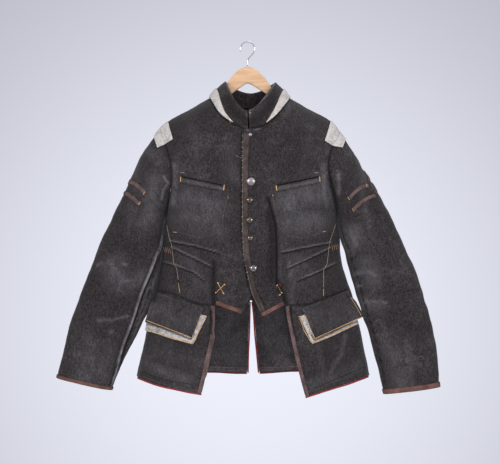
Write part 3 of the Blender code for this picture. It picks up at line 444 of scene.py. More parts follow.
class Finishes:
    """Every finish of the jacket, each built once."""

    def __init__(self) -> None:
        """Build the materials."""
        made = (
            Denim(),
            Weave("tape", (0.056, 0.036, 0.036), (0.160, 0.104, 0.101), 520.0),
            Weave("strip", (0.028, 0.021, 0.020), (0.094, 0.073, 0.068), 640.0),
            Weave("braid", (0.070, 0.034, 0.029), (0.172, 0.088, 0.073), 520.0),
            Weave("canvas", (0.34, 0.315, 0.305), (0.70, 0.665, 0.645), 520.0, (0.07, 0.07, 0.07), 0.35),
            Weave("frayed", (0.13, 0.12, 0.118), (0.66, 0.63, 0.615), 520.0, (0.03, 0.03, 0.03), 0.5),
            Weave("piping", (0.15, 0.022, 0.020), (0.31, 0.055, 0.046)),
            Weave("gold_thread", (0.42, 0.22, 0.085), (0.74, 0.46, 0.22)),
            Weave("brown_thread", (0.13, 0.085, 0.062), (0.34, 0.23, 0.16)),
            Weave("rust_thread", (0.26, 0.14, 0.085), (0.55, 0.34, 0.22)),
            Weave("tan_thread", (0.20, 0.13, 0.095), (0.46, 0.33, 0.25)),
            Weave("pale_thread", (0.25, 0.22, 0.20), (0.60, 0.56, 0.52)),
            Weave("red_thread", (0.22, 0.02, 0.02), (0.50, 0.06, 0.05)),
            Weave("dark_thread_and_shade_cord", (0.003, 0.003, 0.003), (0.008, 0.007, 0.008)),
            Metal("silver", (0.56, 0.52, 0.57), (0.46, 0.42, 0.45), 0.38, 0.44, (0.22, 0.15, 0.12)),
            Metal("pewter", (0.34, 0.33, 0.36), (0.27, 0.255, 0.27), 0.22, 0.27, (0.10, 0.070, 0.056)),
            Metal("brass", (0.27, 0.215, 0.180), (0.20, 0.155, 0.125), 0.19, 0.23, (0.055, 0.036, 0.027)),
            Metal("chrome", (0.78, 0.78, 0.80), (0.55, 0.55, 0.58), 0.10, 0.24),
            Wood(),
        )
        self.materials = {finish.name: finish.material() for finish in made}

    def put(self, piece: bpy.types.Object, name: str) -> None:
        """Give a piece one finish all over."""
        piece.data.materials.clear()
        piece.data.materials.append(self.materials[name])


# Folds, worn cloth, painted light and painted shade


class Face(Enum):
    """The side of the jacket that a fold is on."""

    FRONT = -1.0
    BACK = 1.0


class Profile(Enum):
    """A fold's cross-section."""

    RIDGE = "ridge"
    TROUGH = "trough"
    LAP = "lap"


FRONT, BACK = Face
RIDGE, TROUGH, LAP = Profile


@dataclass(frozen=True)
class Fold:
    """A fold or seam line pressed into the cloth.

    points are in picture steps, height and width in mm, rub is how far the cloth is worn pale on it.
    A lap is steep on the side that lies left of its line's way.
    """

    points: tuple[Spot, ...]
    height: float
    width: float
    profile: Profile = RIDGE
    rub: float = 0.0
    face: Face = Face.FRONT


@dataclass(frozen=True)
class Patch:
    """A line of changed cloth: its points in picture steps, its width in mm and how strong it is."""

    points: tuple[Spot, ...]
    width: float
    depth: float
    face: Face = Face.FRONT


class Fade(Patch):
    """Cloth painted paler: mostly worn cloth, and in a few places painted light and highlights."""


class Shade(Patch):
    """Cloth darkened with painted shade, where folds, laps, flaps and grooves shadow it."""


@dataclass(frozen=True)
class Nudge:
    """Cloth pushed aside beside a line in the picture, so that the outline hangs as it should.

    width, move and rise are in mm. A move is towards the wearer's left, a rise is upward.
    """

    points: tuple[Spot, ...]
    width: float
    move: float
    face: Face | None = None
    rise: float = 0.0


LAP_STEEPNESS = 0.22
RUB_SPREAD = 0.75


def picture_spots(places: np.ndarray) -> np.ndarray:
    """Where points appear in the picture.

    Args:
        places: Points in metres, one a row.

    Returns:
        Their places in steps across and down the picture.
    """
    scale = STEP * (1 + places[:, 1] / -EYE.y)
    across = PICTURE_MIDDLE[0] + (places[:, 0] - EYE.x) / scale
    down = PICTURE_MIDDLE[1] - (places[:, 2] - EYE.z) / scale
    return np.stack([across, down], axis=1)


def line_distance(spots: np.ndarray, line: Sequence[Spot]) -> np.ndarray:
    """How far spots lie from a line.

    Args:
        spots: Places in the picture, one a row.
        line: The line's points.

    Returns:
        Distances in mm, negative to one side of the line.
    """
    nearest = np.full(len(spots), FAR)
    ends = [np.array(point) for point in line]
    for start, stop in zip(ends, ends[1:]):
        along = stop - start
        share = np.clip((spots - start) @ along / (along @ along), 0, 1)
        off = spots - start - share[:, None] * along
        far = np.hypot(off[:, 0], off[:, 1])
        side = np.where(along[0] * off[:, 1] - along[1] * off[:, 0] < 0, -1.0, 1.0)
        nearest = np.where(far < np.abs(nearest), far * side, nearest)
    return nearest * STEP / MM


def smooth_share(value: np.ndarray, low: float, high: float) -> np.ndarray:
    """A share that goes smoothly from 0 at low to 1 at high."""
    share = np.clip((value - low) / (high - low), 0, 1)
    return share * share * (3 - 2 * share)


def bell(distance: np.ndarray, width: float | np.ndarray) -> np.ndarray:
    """A share that is 1 on a line and falls away over its width."""
    return np.exp(-((distance / width) ** 2))


def profile_height(fold: Fold, distance: np.ndarray) -> np.ndarray:
    """Find how high a fold stands.

    Args:
        fold: The fold.
        distance: Distances from its line, in mm.

    Returns:
        The height at each distance, as a share of the fold's height.
    """
    if fold.profile is LAP:
        return bell(distance, np.where(distance < 0, fold.width * LAP_STEEPNESS, fold.width))
    bulge = bell(distance, fold.width)
    return -bulge if fold.profile is TROUGH else bulge


def shifted(line: Sequence[Spot], across: float, down: float = 0.0) -> tuple[Spot, ...]:
    """The same line moved aside in the picture."""
    return tuple((x + across, y + down) for x, y in line)


FRONT_EDGE = (
    (242.9, 133), (242.6, 190), (242.5, 230), (243.7, 256), (247.6, 274.3), (252, 293.4), (259, 308),
)

DART_LINES = (
    ((170.5, 242.4), (195, 247), (218.9, 253.6)),
    ((172, 248.8), (190, 257.4), (212, 268)),
    ((162, 262.6), (176.5, 266.8), (193, 273), (204, 281.5)),
    ((330.4, 243.9), (305, 248.6), (281, 253.6)),
    ((329.7, 249.4), (308, 260), (288, 269)),
    ((340, 262), (324, 270.2), (308, 277.2), (297, 282)),
)

BODY_FOLDS = (
    *(Fold(shifted(line, 0, -1.6), 1.8, 3, RIDGE, 0.6) for line in DART_LINES),
    *(Fold(line, 2.2, 2.6, TROUGH) for line in DART_LINES),
    Fold(((213, 262), (213, 285), (213.5, 303)), 4, 7, TROUGH),
    Fold(((205, 282), (207, 292), (210, 303)), 3, 7, RIDGE, 0.1),
    Fold(((276.8, 280.6), (277.8, 248.3), (276.8, 225.1), (273.1, 211.3), (268.5, 196.5)), 7, 16, LAP, 0.1),
    Fold(((275.6, 280.6), (276.4, 248.3), (275.4, 225.1), (271.8, 211.3), (267.2, 196.5)), 4, 5, TROUGH),
    Fold(((291.6, 303), (294, 283), (289, 262)), 4, 9, RIDGE, 0.22),
    Fold(((286, 304), (282, 290), (279, 262)), 4, 6, TROUGH),
    Fold(((182, 176.6), (222.8, 185)), 1.6, 3.2, TROUGH),
    Fold(((277.8, 185), (318.5, 176.6)), 1.6, 3.2, TROUGH),
    Fold(((182, 182.5), (222.8, 190.8)), 0.7, 3.2, TROUGH),
    Fold(((277.8, 190.8), (318.5, 182.5)), 0.7, 3.2, TROUGH),
    Fold(((190, 128), (200, 160), (203, 190)), 2.6, 12, RIDGE, 0.06),
    Fold(((310, 130), (302, 160), (299, 190)), 2.6, 12, RIDGE, 0.06),
    Fold(((176, 160), (184, 196), (188, 226)), 2.4, 9, TROUGH),
    Fold(((325, 160), (317, 196), (314, 226)), 2.4, 9, TROUGH),
    Fold(((222, 150), (224, 190), (222, 235)), 2, 9, RIDGE, 0.05),
    Fold(((180, 296), (172, 340), (166, 378)), 3, 10, RIDGE, 0.08),
    Fold(((193, 345), (196, 360), (200, 385)), 2.4, 8, TROUGH),
    Fold(((150, 345), (160, 362), (168, 380)), 3, 9, TROUGH),
    Fold(((318, 345), (322, 365), (327, 385)), 2.6, 9, RIDGE, 0.08),
    Fold(((345, 335), (341, 355), (330, 372)), 3, 8, RIDGE, 0.2),
    Fold(((330, 340), (322, 350), (318, 362)), 2.6, 7, TROUGH),
    Fold(((290, 300), (297, 335), (305, 360)), 3, 8, TROUGH),
    Fold(((328, 298), (326, 310), (328, 325)), 2.4, 7, TROUGH),
    Fold(((172, 296), (170, 310), (171, 325)), 2.2, 8, RIDGE, 0.14),
    Fold(((240, 140), (240, 230), (238, 300)), 2, 14, RIDGE, 0, BACK),
    Fold(((205, 150), (214, 200), (222, 262)), 3.4, 13, LAP, 0.03, BACK),
    Fold(((300, 150), (291, 200), (283, 262)), 3.4, 13, RIDGE, 0.03, BACK),
    Fold(((176, 190), (196, 225), (220, 262)), 3, 9, TROUGH, 0, BACK),
    Fold(((326, 190), (305, 228), (285, 262)), 3, 9, TROUGH, 0, BACK),
    Fold(((200, 300), (196, 340), (190, 385)), 3.4, 12, RIDGE, 0.03, BACK),
    Fold(((305, 300), (311, 340), (318, 385)), 3.4, 12, RIDGE, 0.03, BACK),
    Fold(((170, 262), (210, 270), (250, 268), (290, 270), (332, 262)), 1.6, 6, RIDGE, 0.1, BACK),
)

SLEEVE_STRIPE = (
    (160.8, 236), (157.4, 250), (149.2, 273.6), (141, 293.5), (133.8, 317), (124.7, 340.6), (113, 385),
)
STRIPE_SIDE = shifted(SLEEVE_STRIPE, 2.3)

SLEEVE_FOLDS = (
    # The pale stripe along the sleeve seam is worn cloth with a painted highlight.
    Fold(SLEEVE_STRIPE, 1.2, 3, RIDGE, 0.95),
    Fold(STRIPE_SIDE, 1.4, 2.6, TROUGH),
    Fold(((127, 264.5), (102, 262.7), (97, 266)), 2.4, 5, LAP, 0.36),
    Fold(((140.1, 279.9), (118.4, 281.7), (113.9, 281.7), (109.3, 276.3)), 2.4, 5, LAP, 0.42),
    Fold(((113.9, 285.3), (124.7, 293.5)), 2, 5, RIDGE, 0.34),
    Fold(((127.5, 316.1), (111.2, 320.2), (98, 319.7)), 2, 5, LAP, 0.34),
    Fold(((98, 292), (110, 300), (128, 304)), 2.2, 8, TROUGH),
    Fold(((163.2, 176), (168, 183.4), (163.2, 190), (161.3, 199)), 2, 4.5, RIDGE, 0.55),
    Fold(((158, 165), (156, 200), (150, 232)), 2.4, 9, TROUGH),
    Fold(((140, 150), (136, 190), (128, 232)), 2.2, 12, RIDGE, 0.1),
    Fold(((120, 232), (132, 244), (152, 250)), 2.6, 7, TROUGH),
    Fold(((357, 274), (368, 270.8), (375.5, 275.9)), 2.2, 6, RIDGE, 0.42),
    Fold(((345, 252), (362, 256), (384, 252)), 2.6, 7, TROUGH),
    Fold(((356, 284), (372, 287), (386, 281)), 2.6, 7, TROUGH),
    Fold(((386, 303), (379.2, 300.4), (366.2, 301.8)), 2.2, 6, LAP, 0.45),
    Fold(((372, 322), (388, 327), (404, 318)), 2.2, 8, TROUGH),
    Fold(((338.5, 174), (339, 193)), 2, 6, RIDGE, 0.42),
    Fold(((358, 160), (364, 200), (372, 240)), 2.2, 12, RIDGE, 0.1),
    Fold(((344, 200), (350, 225), (360, 246)), 2.4, 8, TROUGH),
    Fold(((92, 340), (84, 365), (80, 385)), 1.8, 11, RIDGE, 0.14),
    Fold(((406, 345), (409, 368), (412, 388)), 1.8, 11, RIDGE, 0.14),
    Fold(((104, 262), (120, 268), (136, 262)), 2.4, 8, TROUGH, 0, BACK),
    Fold(((100, 282), (118, 288), (132, 284)), 2.4, 8, RIDGE, 0.25, BACK),
    Fold(((360, 268), (376, 274), (392, 268)), 2.4, 8, TROUGH, 0, BACK),
    Fold(((362, 286), (380, 292), (398, 288)), 2.4, 8, RIDGE, 0.25, BACK),
)

BODY_FADES = (
    Fade(((174, 166), (175.5, 184), (173, 203)), 8, 0.34),
    Fade(((323.8, 166), (324, 190), (326, 205)), 8, 0.36),
    Fade(((186, 198), (200, 202), (215, 205)), 38, 0.25),
    Fade(((186, 217), (200, 222), (212, 222)), 36, 0.23),
    Fade(((287, 203), (300, 200), (316, 196)), 38, 0.31),
    Fade(((290, 222), (300, 224), (316, 218)), 34, 0.28),
    Fade(((160, 318), (180, 322), (192, 318)), 34, 0.14),
    Fade(((315, 318), (330, 320), (345, 312)), 34, 0.12),
    Fade(((150, 350), (170, 356), (195, 366)), 34, 0.1),
    Fade(((226, 82), (231, 92), (238, 101), (246.4, 108)), 2.2, 0.55),
    Fade(((274.2, 83.5), (268, 94), (260, 101.5), (249.4, 107.6)), 2.2, 0.62),
    Fade(((249, 108), (249.8, 113)), 2.2, 0.6),
    # Painted highlights along the collar's foot seam.
    Fade(((245.8, 128.6), (248.2, 131)), 2, 0.6),
    Fade(((254.6, 129.8), (259.6, 128.6)), 2, 0.6),
    Fade(((138, 375.2), (158, 382.2), (178, 387.8), (200, 391.2)), 2.4, 0.2),
    Fade(((303.5, 393), (322, 387), (345, 377.6), (368, 366.6)), 2.4, 0.14),
    Fade(((207, 369.2), (228, 369.8), (247, 370.4)), 5, 0.34, BACK),
    Fade(((258, 370.2), (280, 369.6), (302, 368.6)), 5, 0.34, BACK),
    # Painted light: two broad fades brighten the inside of the back's lower part.
    Fade(((228, 312), (229, 345), (228, 372)), 60, 0.2, BACK),
    Fade(((277, 312), (277, 345), (278, 372)), 60, 0.2, BACK),
    Fade(((190, 262), (200, 284)), 22, 0.14),
    Fade(((300, 262), (296, 284)), 22, 0.14),
    Fade(((153, 300), (150, 315)), 10, 0.2),
    Fade(((145, 365), (190, 380)), 16, 0.22),
    Fade(((312, 385), (368, 362)), 16, 0.16),
    Fade(((243, 140), (242.4, 230), (243.5, 262)), 3, 0.3),
    Fade(((230, 150), (232, 175)), 18, 0.12),
    Fade(((182, 180.4), (222.8, 188.6)), 3.6, 0.42),
    Fade(((277.8, 188.6), (318.5, 180.4)), 3.6, 0.42),
)

SLEEVE_FADES = (
    # The pale stripe along the sleeve seam is worn cloth with a painted highlight.
    Fade(SLEEVE_STRIPE, 2.9, 1.15),
    Fade(shifted(SLEEVE_STRIPE[2:], 6.4), 5, 0.3),
    Fade(((354, 232), (352, 248)), 20, 0.36),
    Fade(((366, 262), (372, 278)), 26, 0.22),
    Fade(((362, 300), (378, 305)), 22, 0.2),
    Fade(((111.2, 331.5), (112, 332)), 5, 0.45),
    Fade(((359.8, 286), (360.5, 286)), 5, 0.45),
    Fade(((113, 268), (120, 284)), 24, 0.28),
    Fade(((128, 286), (140, 276)), 18, 0.22),
    Fade(((155, 180), (146, 225)), 22, 0.24),
    Fade(((90, 345), (84, 378)), 24, 0.22),
    Fade(((108, 350), (100, 382)), 20, 0.18),
    Fade(((392, 345), (402, 384)), 26, 0.18),
    Fade(((148, 150), (160, 160)), 16, 0.14),
)

# Painted shade: dark lines along darts, welts, laps and the front edge, shadows under the hip flaps and
# beside the sleeves, and a darker collar.
BODY_SHADES = (
    *(Shade(line, 2.2, 0.75) for line in DART_LINES),
    Shade(((228, 98), (234, 110), (244, 119), (248, 122)), 12, 0.48),
    Shade(((272, 98), (266, 110), (256, 118), (252, 121)), 12, 0.42),
    Shade(shifted(FRONT_EDGE, -1.3), 1.6, 0.85),
    Shade(((211.2, 311), (211.6, 322), (210.4, 334)), 3.6, 0.9),
    Shade(((290.4, 306), (292, 322), (294.2, 334)), 2.6, 0.8),
    Shade(((145.6, 322.4), (168, 330.2), (190.9, 339.2), (194, 334)), 2, 0.95),
    Shade(((361, 318.8), (340, 328.8), (315.2, 340.2), (311.4, 335)), 2, 0.95),
    Shade(((208, 373.6), (246, 374.4)), 2, 0.6, BACK),
    Shade(((259, 374.2), (301, 372.8)), 2, 0.6, BACK),
    Shade(((276.4, 284), (276.6, 248.3), (275.6, 225.1), (272.2, 211.3), (268, 198)), 3.2, 0.95),
    Shade(((272, 280), (272.6, 248.3), (271.6, 225.1), (269, 211.3)), 10, 0.55),
    Shade(((286.5, 304), (281, 290), (277.4, 280)), 6, 0.75),
    Shade(((213.4, 262), (213.4, 285), (213.5, 303)), 6, 0.7),
    Shade(((182, 176.9), (222.8, 185.3)), 1.9, 0.85),
    Shade(((277.8, 185.3), (318.5, 176.9)), 1.9, 0.85),
    Shade(((182, 183), (222.8, 191.4)), 1.6, 0.34),
    Shade(((277.8, 191.4), (318.5, 183)), 1.6, 0.34),
    Shade(((164.4, 236), (162, 258), (159, 285), (156, 300)), 7, 0.85),
    Shade(((338, 216), (338.4, 238)), 5, 0.8),
    Shade(((213, 305), (212, 330), (208, 372)), 5, 0.3),
    Shade(((236, 302), (241, 312)), 4, 0.3),
    Shade(((245.4, 262), (249.6, 276), (253.4, 289), (259, 302)), 6, 0.5),
    Shade(((250.6, 291), (250.7, 299)), 3, 0.95, BACK),
)

# Painted shade: a dark line beside the sleeve stripe and along the armholes.
SLEEVE_SHADES = (
    Shade(STRIPE_SIDE, 2, 0.85),
    Shade(shifted(SLEEVE_STRIPE, -2.4), 1.8, 0.45),
    Shade(((175.4, 147), (172.4, 183.4), (170.6, 193.6), (164.1, 221.3), (162.3, 240)), 5, 0.9),
    Shade(((327.6, 150), (327.4, 166.8), (331.1, 183.4), (335.3, 198.2), (338, 216.7), (339, 238)), 5, 0.9),
    Shade(((342, 240), (356, 290), (366, 325)), 6, 0.55),
)


BODY_NUDGES = (
    Nudge(((164, 228), (161, 262), (157, 298)), 14, -3.5),
    Nudge(((338, 230), (341, 262), (352, 296)), 14, 3),
    Nudge(((249, 286), (249, 299)), 4, 6, BACK),
    Nudge(((252.8, 286), (252.8, 299)), 4, -6, BACK),
    Nudge(((292, 376), (330, 374)), 45, 0, BACK, 6.5),
    Nudge(((180, 376), (214, 376)), 34, 0, BACK, 4),
    Nudge(((213.4, 338), (209, 356), (205.4, 374)), 12, 4.2, FRONT),
    Nudge(((203, 384), (201, 393)), 12, 2, FRONT),
)

COLLAR_NUDGES = (Nudge(((226, 107.4), (274, 107.4)), 5, 0, BACK, -3.6),)

FLAP_NUDGES = (
    Nudge(((153, 306), (149, 328)), 15, -9),
    Nudge(((356, 302), (360, 322)), 15, 10),
)

SLEEVE_NUDGES = (
    Nudge(((130, 182), (124, 196), (118, 210)), 26, -4.6),
    Nudge(((82, 284), (78, 300)), 24, 3),
    Nudge(((71, 325), (62, 352), (59, 364)), 24, -2.6),
    Nudge(((162, 230), (158, 262), (152, 300), (147, 312)), 16, 3.5),
    Nudge(((368, 180), (376, 196), (384, 212)), 20, 3.8),
    Nudge(((340, 226), (346, 252), (355, 284), (365, 318)), 16, -5),
    Nudge(((428, 316), (432, 340), (437, 372)), 24, 4.5),
    Nudge(((419, 296), (424, 307)), 13, 3),
    Nudge(((382, 394), (410, 392), (442, 387)), 15, 1.5, None, -3.6),
    Nudge(((54, 378), (82, 385), (112, 390)), 12, 0, None, -1.6),
)


@dataclass(frozen=True)
class Wave:
    """A long, low wave in hanging cloth: its height in mm and turns a metre across, in and up."""

    height: float
    across: float
    inward: float
    upward: float
    shift: float


WAVES = (
    Wave(0.9, 9, 3, 1.8, 0.3),
    Wave(0.7, -13, 5, 3.1, 1.9),
    Wave(0.5, 6, -11, 7.3, 4),
    Wave(0.35, 21, 7, -9, 2.2),
    Wave(0.22, -33, 12, 16, 5.1),
    Wave(0.18, 29, -22, 31, 0.8),
)


class Form:
    """A surface that cloth lies on: which way is out, and how far the folds lift it there."""

    folds: tuple[Fold, ...] = ()
    fades: tuple[Fade, ...] = ()
    shades: tuple[Shade, ...] = ()
    nudges: tuple[Nudge, ...] = ()
    facing: Spot = (0.25, 0.75)

    def outward(self, places: np.ndarray) -> np.ndarray:
        """The way out of the form at each point."""
        raise NotImplementedError

    def grain(self, places: np.ndarray) -> np.ndarray:
        """Each point's place on the flat cloth, in metres."""
        raise NotImplementedError

    def turned(self, out: np.ndarray, face: Face) -> np.ndarray:
        """How squarely each point faces one side of the jacket, from 0 to 1."""
        return smooth_share(out[:, 1] * face.value, *self.facing)

    def strongest(self, patches: Sequence[Patch], spots: np.ndarray, out: np.ndarray) -> np.ndarray:
        """Find how far patches change the cloth.

        Args:
            patches: The patches.
            spots: Places in the picture, one a row.
            out: The way out of the form at each place.

        Returns:
            The strongest patch's depth at each place.
        """
        depth = np.zeros(len(spots))
        for patch in patches:
            near = bell(line_distance(spots, patch.points), patch.width)
            depth = np.maximum(depth, patch.depth * self.turned(out, patch.face) * near)
        return depth

    def relief(self, places: np.ndarray) -> tuple[np.ndarray, np.ndarray, np.ndarray]:
        """Fold the cloth.

        Args:
            places: Points in metres, one a row.

        Returns:
            How far each point moves in metres, as vectors, how pale the cloth is painted there, for worn
            cloth and in a few places painted light, and how much painted shade darkens it.
        """
        out = self.outward(places)
        spots = picture_spots(places)
        lift = np.zeros(len(places))
        for wave in WAVES:
            turns = 2 * math.pi * np.array([wave.across, wave.inward, wave.upward])
            lift += wave.height * np.sin(places @ turns + wave.shift)
        rub = self.strongest(self.fades, spots, out)
        for fold in self.folds:
            facing = self.turned(out, fold.face)
            distance = line_distance(spots, fold.points)
            lift += fold.height * facing * profile_height(fold, distance)
            rub = np.maximum(rub, fold.rub * facing * bell(distance, fold.width * RUB_SPREAD))
        moves = out * (lift * armhole_share(spots) * MM)[:, None]
        for nudge in self.nudges:
            near = bell(line_distance(spots, nudge.points), nudge.width)
            if nudge.face is not None:
                near = near * self.turned(out, nudge.face)
            moves[:, 0] += nudge.move * MM * near
            moves[:, 2] += nudge.rise * MM * near
        return moves, rub, self.strongest(self.shades, spots, out)


ARMHOLES = (
    ((166.9, 120), (166.9, 146.4), (172.4, 183.4), (170.6, 193.6), (164.1, 221.3), (162.3, 231.5)),
    (
        (329.2, 120), (329.2, 152), (327.4, 166.8), (331.1, 183.4), (335.3, 198.2),
        (338, 216.7), (339, 231),
    ),
)


def armhole_share(spots: np.ndarray) -> np.ndarray:
    """How far spots are from the armholes, as a share from 0 on them to 1 well away."""
    nearest = np.minimum(*(np.abs(line_distance(spots, line)) for line in ARMHOLES))
    return smooth_share(nearest, *ARMHOLE_BAND)


def unit_rows(vectors: np.ndarray) -> np.ndarray:
    """The same vectors, one a row, each 1 long."""
    return vectors / np.maximum(np.linalg.norm(vectors, axis=1), TINY)[:, None]


class BodyForm(Form):
    """The jacket's body, an oval tube about a standing axis."""

    folds = BODY_FOLDS
    fades = BODY_FADES
    shades = BODY_SHADES
    nudges = BODY_NUDGES
    half_width = 0.21
    half_depth = 0.085
    side_share = 0.75
    back_edge = 0.08

    def outward(self, places: np.ndarray) -> np.ndarray:
        """Find the way out of the body.

        Args:
            places: Points in metres, one a row.

        Returns:
            The way out at each point.
        """
        out = np.zeros_like(places)
        out[:, 0] = (places[:, 0] - BODY_CENTRE_X) / self.half_width**2
        out[:, 1] = places[:, 1] / self.half_depth**2
        return unit_rows(out)

    def grain(self, places: np.ndarray) -> np.ndarray:
        """Each point's place on the flat cloth, in metres."""
        around = np.sign(places[:, 0]) * (places[:, 1] + self.back_edge)
        across = places[:, 0] + self.side_share * around
        return np.stack([across, places[:, 2]], axis=1)


class CollarForm(BodyForm):
    """The collar, whose foot at the back goes down inside the neck."""

    nudges = COLLAR_NUDGES


class FlapForm(BodyForm):
    """The hip flaps, which stand out from the body at their outer ends."""

    nudges = (*BODY_NUDGES, *FLAP_NUDGES)


@dataclass(frozen=True)
class SleeveForm(Form):
    """A sleeve, an oval tube about an axis that leans away from the body. Sizes in mm."""

    axis: tuple[tuple[float, float, float], ...]

    folds = SLEEVE_FOLDS
    fades = SLEEVE_FADES
    shades = SLEEVE_SHADES
    nudges = SLEEVE_NUDGES
    facing = (0.04, 0.34)
    side_share = 0.7
    flatness = 2.2

    def nearest(self, places: np.ndarray) -> tuple[np.ndarray, np.ndarray, np.ndarray]:
        """Find the axis beside each point.

        Args:
            places: Points in metres, one a row.

        Returns:
            The axis's nearest points, the way along it there and how far along they are.
        """
        stations = np.array(self.axis) * MM
        best = np.full(len(places), FAR)
        foot = np.zeros_like(places)
        way = np.zeros_like(places)
        run = np.zeros(len(places))
        before = 0.0
        for start, stop in zip(stations, stations[1:]):
            along = stop - start
            length = np.linalg.norm(along)
            share = np.clip((places - start) @ along / length**2, 0, 1)
            point = start + share[:, None] * along
            far = np.linalg.norm(places - point, axis=1)
            closer = far < best
            best = np.where(closer, far, best)
            foot[closer] = point[closer]
            way[closer] = along / length
            run = np.where(closer, before + share * length, run)
            before += length
        return foot, way, run

    def outward(self, places: np.ndarray) -> np.ndarray:
        """Find the way out of the sleeve.

        Args:
            places: Points in metres, one a row.

        Returns:
            The way out at each point.
        """
        foot, way, _ = self.nearest(places)
        off = places - foot
        off -= (off * way).sum(axis=1)[:, None] * way
        off[:, 1] *= self.flatness
        return unit_rows(off)

    def grain(self, places: np.ndarray) -> np.ndarray:
        """Each point's place on the flat cloth, in metres."""
        foot, way, run = self.nearest(places)
        off = places - foot
        side = off[:, 0] * -way[:, 2] + off[:, 2] * way[:, 0]
        return np.stack([side + self.side_share * np.abs(off[:, 1]), -run], axis=1)


BODY = BodyForm()
COLLAR = CollarForm()
FLAP = FlapForm()
SLEEVE_RIGHT = SleeveForm(
    (
        (-203, 1, -318),
        (-235, -4, -376),
        (-258, -9, -439),
        (-282, -15, -508),
        (-326, -20, -641),
        (-387, -24, -814),
        (-395, -24, -840),
    )
)
SLEEVE_LEFT = SleeveForm(
    (
        (218, 1, -322),
        (249, -4, -379),
        (276, -9, -434),
        (313, -15, -518),
        (351, -20, -638),
        (390, -24, -827),
        (396, -24, -850),
    )
)


# Cloth


@dataclass(frozen=True)
class Cut:
    """One CAD cloth piece and how it is finished.

    flat is the piece's cut in metres, across and along, and area the cut's area in square metres.
    swell is how much fatter the piece is made all round, in mm, and crease how sharp its edges stay.
    """

    node: str
    form: Form
    finish: str
    levels: int
    flat: Spot
    area: float
    lies_on: str = ""
    joins: tuple[str, ...] = ()
    swell: float = 0.0
    crease: float = EDGE_CREASE

    @property
    def at_shoulder(self) -> bool:
        """Whether the piece reaches a shoulder seam: only the fronts, backs and collar join so many."""
        return len(self.joins) >= SHOULDER_JOINS


class Tailor:
    """Makes the cloth pieces from the CAD panels."""

    def __init__(self, frame: dict, finishes: Finishes) -> None:
        """Keep the CAD pieces and the finishes.

        Args:
            finishes: The materials.
        """
        self.nodes = frame["nodes"]
        self.finishes = finishes
        self.made: dict[str, bpy.types.Object] = {}
        self.trees: dict[str, BVHTree] = {}

    def tree(self, name: str) -> BVHTree:
        """Find a CAD piece's search tree, which is made once.

        Args:
            name: The CAD piece.

        Returns:
            The tree of its faces.
        """
        if name not in self.trees:
            mesh = self.nodes[name].data
            places = [vertex.co.copy() for vertex in mesh.vertices]
            faces = [tuple(face.vertices) for face in mesh.polygons]
            self.trees[name] = BVHTree.FromPolygons(places, faces)
        return self.trees[name]

    def cage(self, cut: Cut) -> tuple[bpy.types.Object, list[Vector], list[Vector]]:
        """Weld a copy of the CAD piece into a cage of four-sided faces.

        Args:
            cut: The piece.

        Returns:
            The cage, with its edges creased and its seams closed, and points along its free edges
            and along its sewn ones.
        """
        work = welded(self.nodes[cut.node], CLOTH_WELD, topology_influence=1.5)
        edge_crease = work.edges.layers.float.new("crease_edge")
        corner_crease = work.verts.layers.float.new("crease_vert")
        rim = []
        for edge in work.edges:
            if len(edge.link_faces) != 2 or edge.calc_face_angle() > SHARP_ANGLE:
                edge[edge_crease] = cut.crease
                rim.append(edge)
        corners = set()
        for edge in rim:
            corners.update(edge.verts)
        for corner in corners:
            if sum(1 for edge in corner.link_edges if edge[edge_crease] > 0) > 2:
                corner[corner_crease] = CORNER_CREASE
        sewn = set()
        for corner in corners:
            if cut.at_shoulder and corner.co.z > SHOULDER_FOOT and abs(corner.co.y) < SHOULDER_REACH:
                corner.co.y *= SHOULDER_GAP
                sewn.add(corner)
                continue
            for name in cut.joins:
                foot = self.tree(name).find_nearest(corner.co, SEAM_REACH)[0]
                if foot is not None:
                    corner.co = corner.co.lerp(foot, SEAM_SHARE)
                    sewn.add(corner)
                    break
        free: list[Vector] = []
        closed: list[Vector] = []
        for edge in rim:
            joined_up = sewn.issuperset(edge.verts)
            if joined_up and min(corner.co.z for corner in edge.verts) > SHOULDER_FOOT:
                edge[edge_crease] = 1.0
            line = closed if joined_up else free
            start, stop = (corner.co for corner in edge.verts)
            line += [start.lerp(stop, index / EDGE_POINTS) for index in range(EDGE_POINTS)]
        name = cut.node + "_cloth"
        return in_scene(name, mesh_of(work, name)), free, closed

    def make(self, cut: Cut) -> bpy.types.Object:
        """Smooth, fold and finish one cloth piece.

        Args:
            cut: The piece.

        Returns:
            The finished piece.
        """
        piece, free, closed = self.cage(cut)
        levels = cut.levels
        subdivide(piece, levels)
        mesh = piece.data
        places = vertex_places(mesh)
        moves, rub, dark = cut.form.relief(places)
        if cut.swell:
            normals = np.empty(len(mesh.vertices) * 3, dtype=np.float32)
            mesh.vertices.foreach_get("normal", normals)
            moves += normals.reshape(-1, 3) * cut.swell * MM
        mesh.vertices.foreach_set("co", (places + moves).astype(np.float32).ravel())
        # Pale paint for worn cloth, and in a few places painted light and highlights.
        set_attribute(mesh, "wear_and_painted_light", rub)
        set_attribute(mesh, "edge", beside(places, free, EDGE_WIDTH))
        # Painted shade: dark along the shade lines, in grooves and along the sewn seams.
        set_attribute(mesh, "seam", np.maximum(dark, SEAM_DARKNESS * beside(places, closed, SEAM_WIDTH)))
        set_grain(mesh, cut.form.grain(places))
        shade_smooth(mesh)
        mesh.update()
        self.finishes.put(piece, cut.finish)
        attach(piece, "root")
        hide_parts(cut.node)
        self.made[cut.node] = piece
        return piece


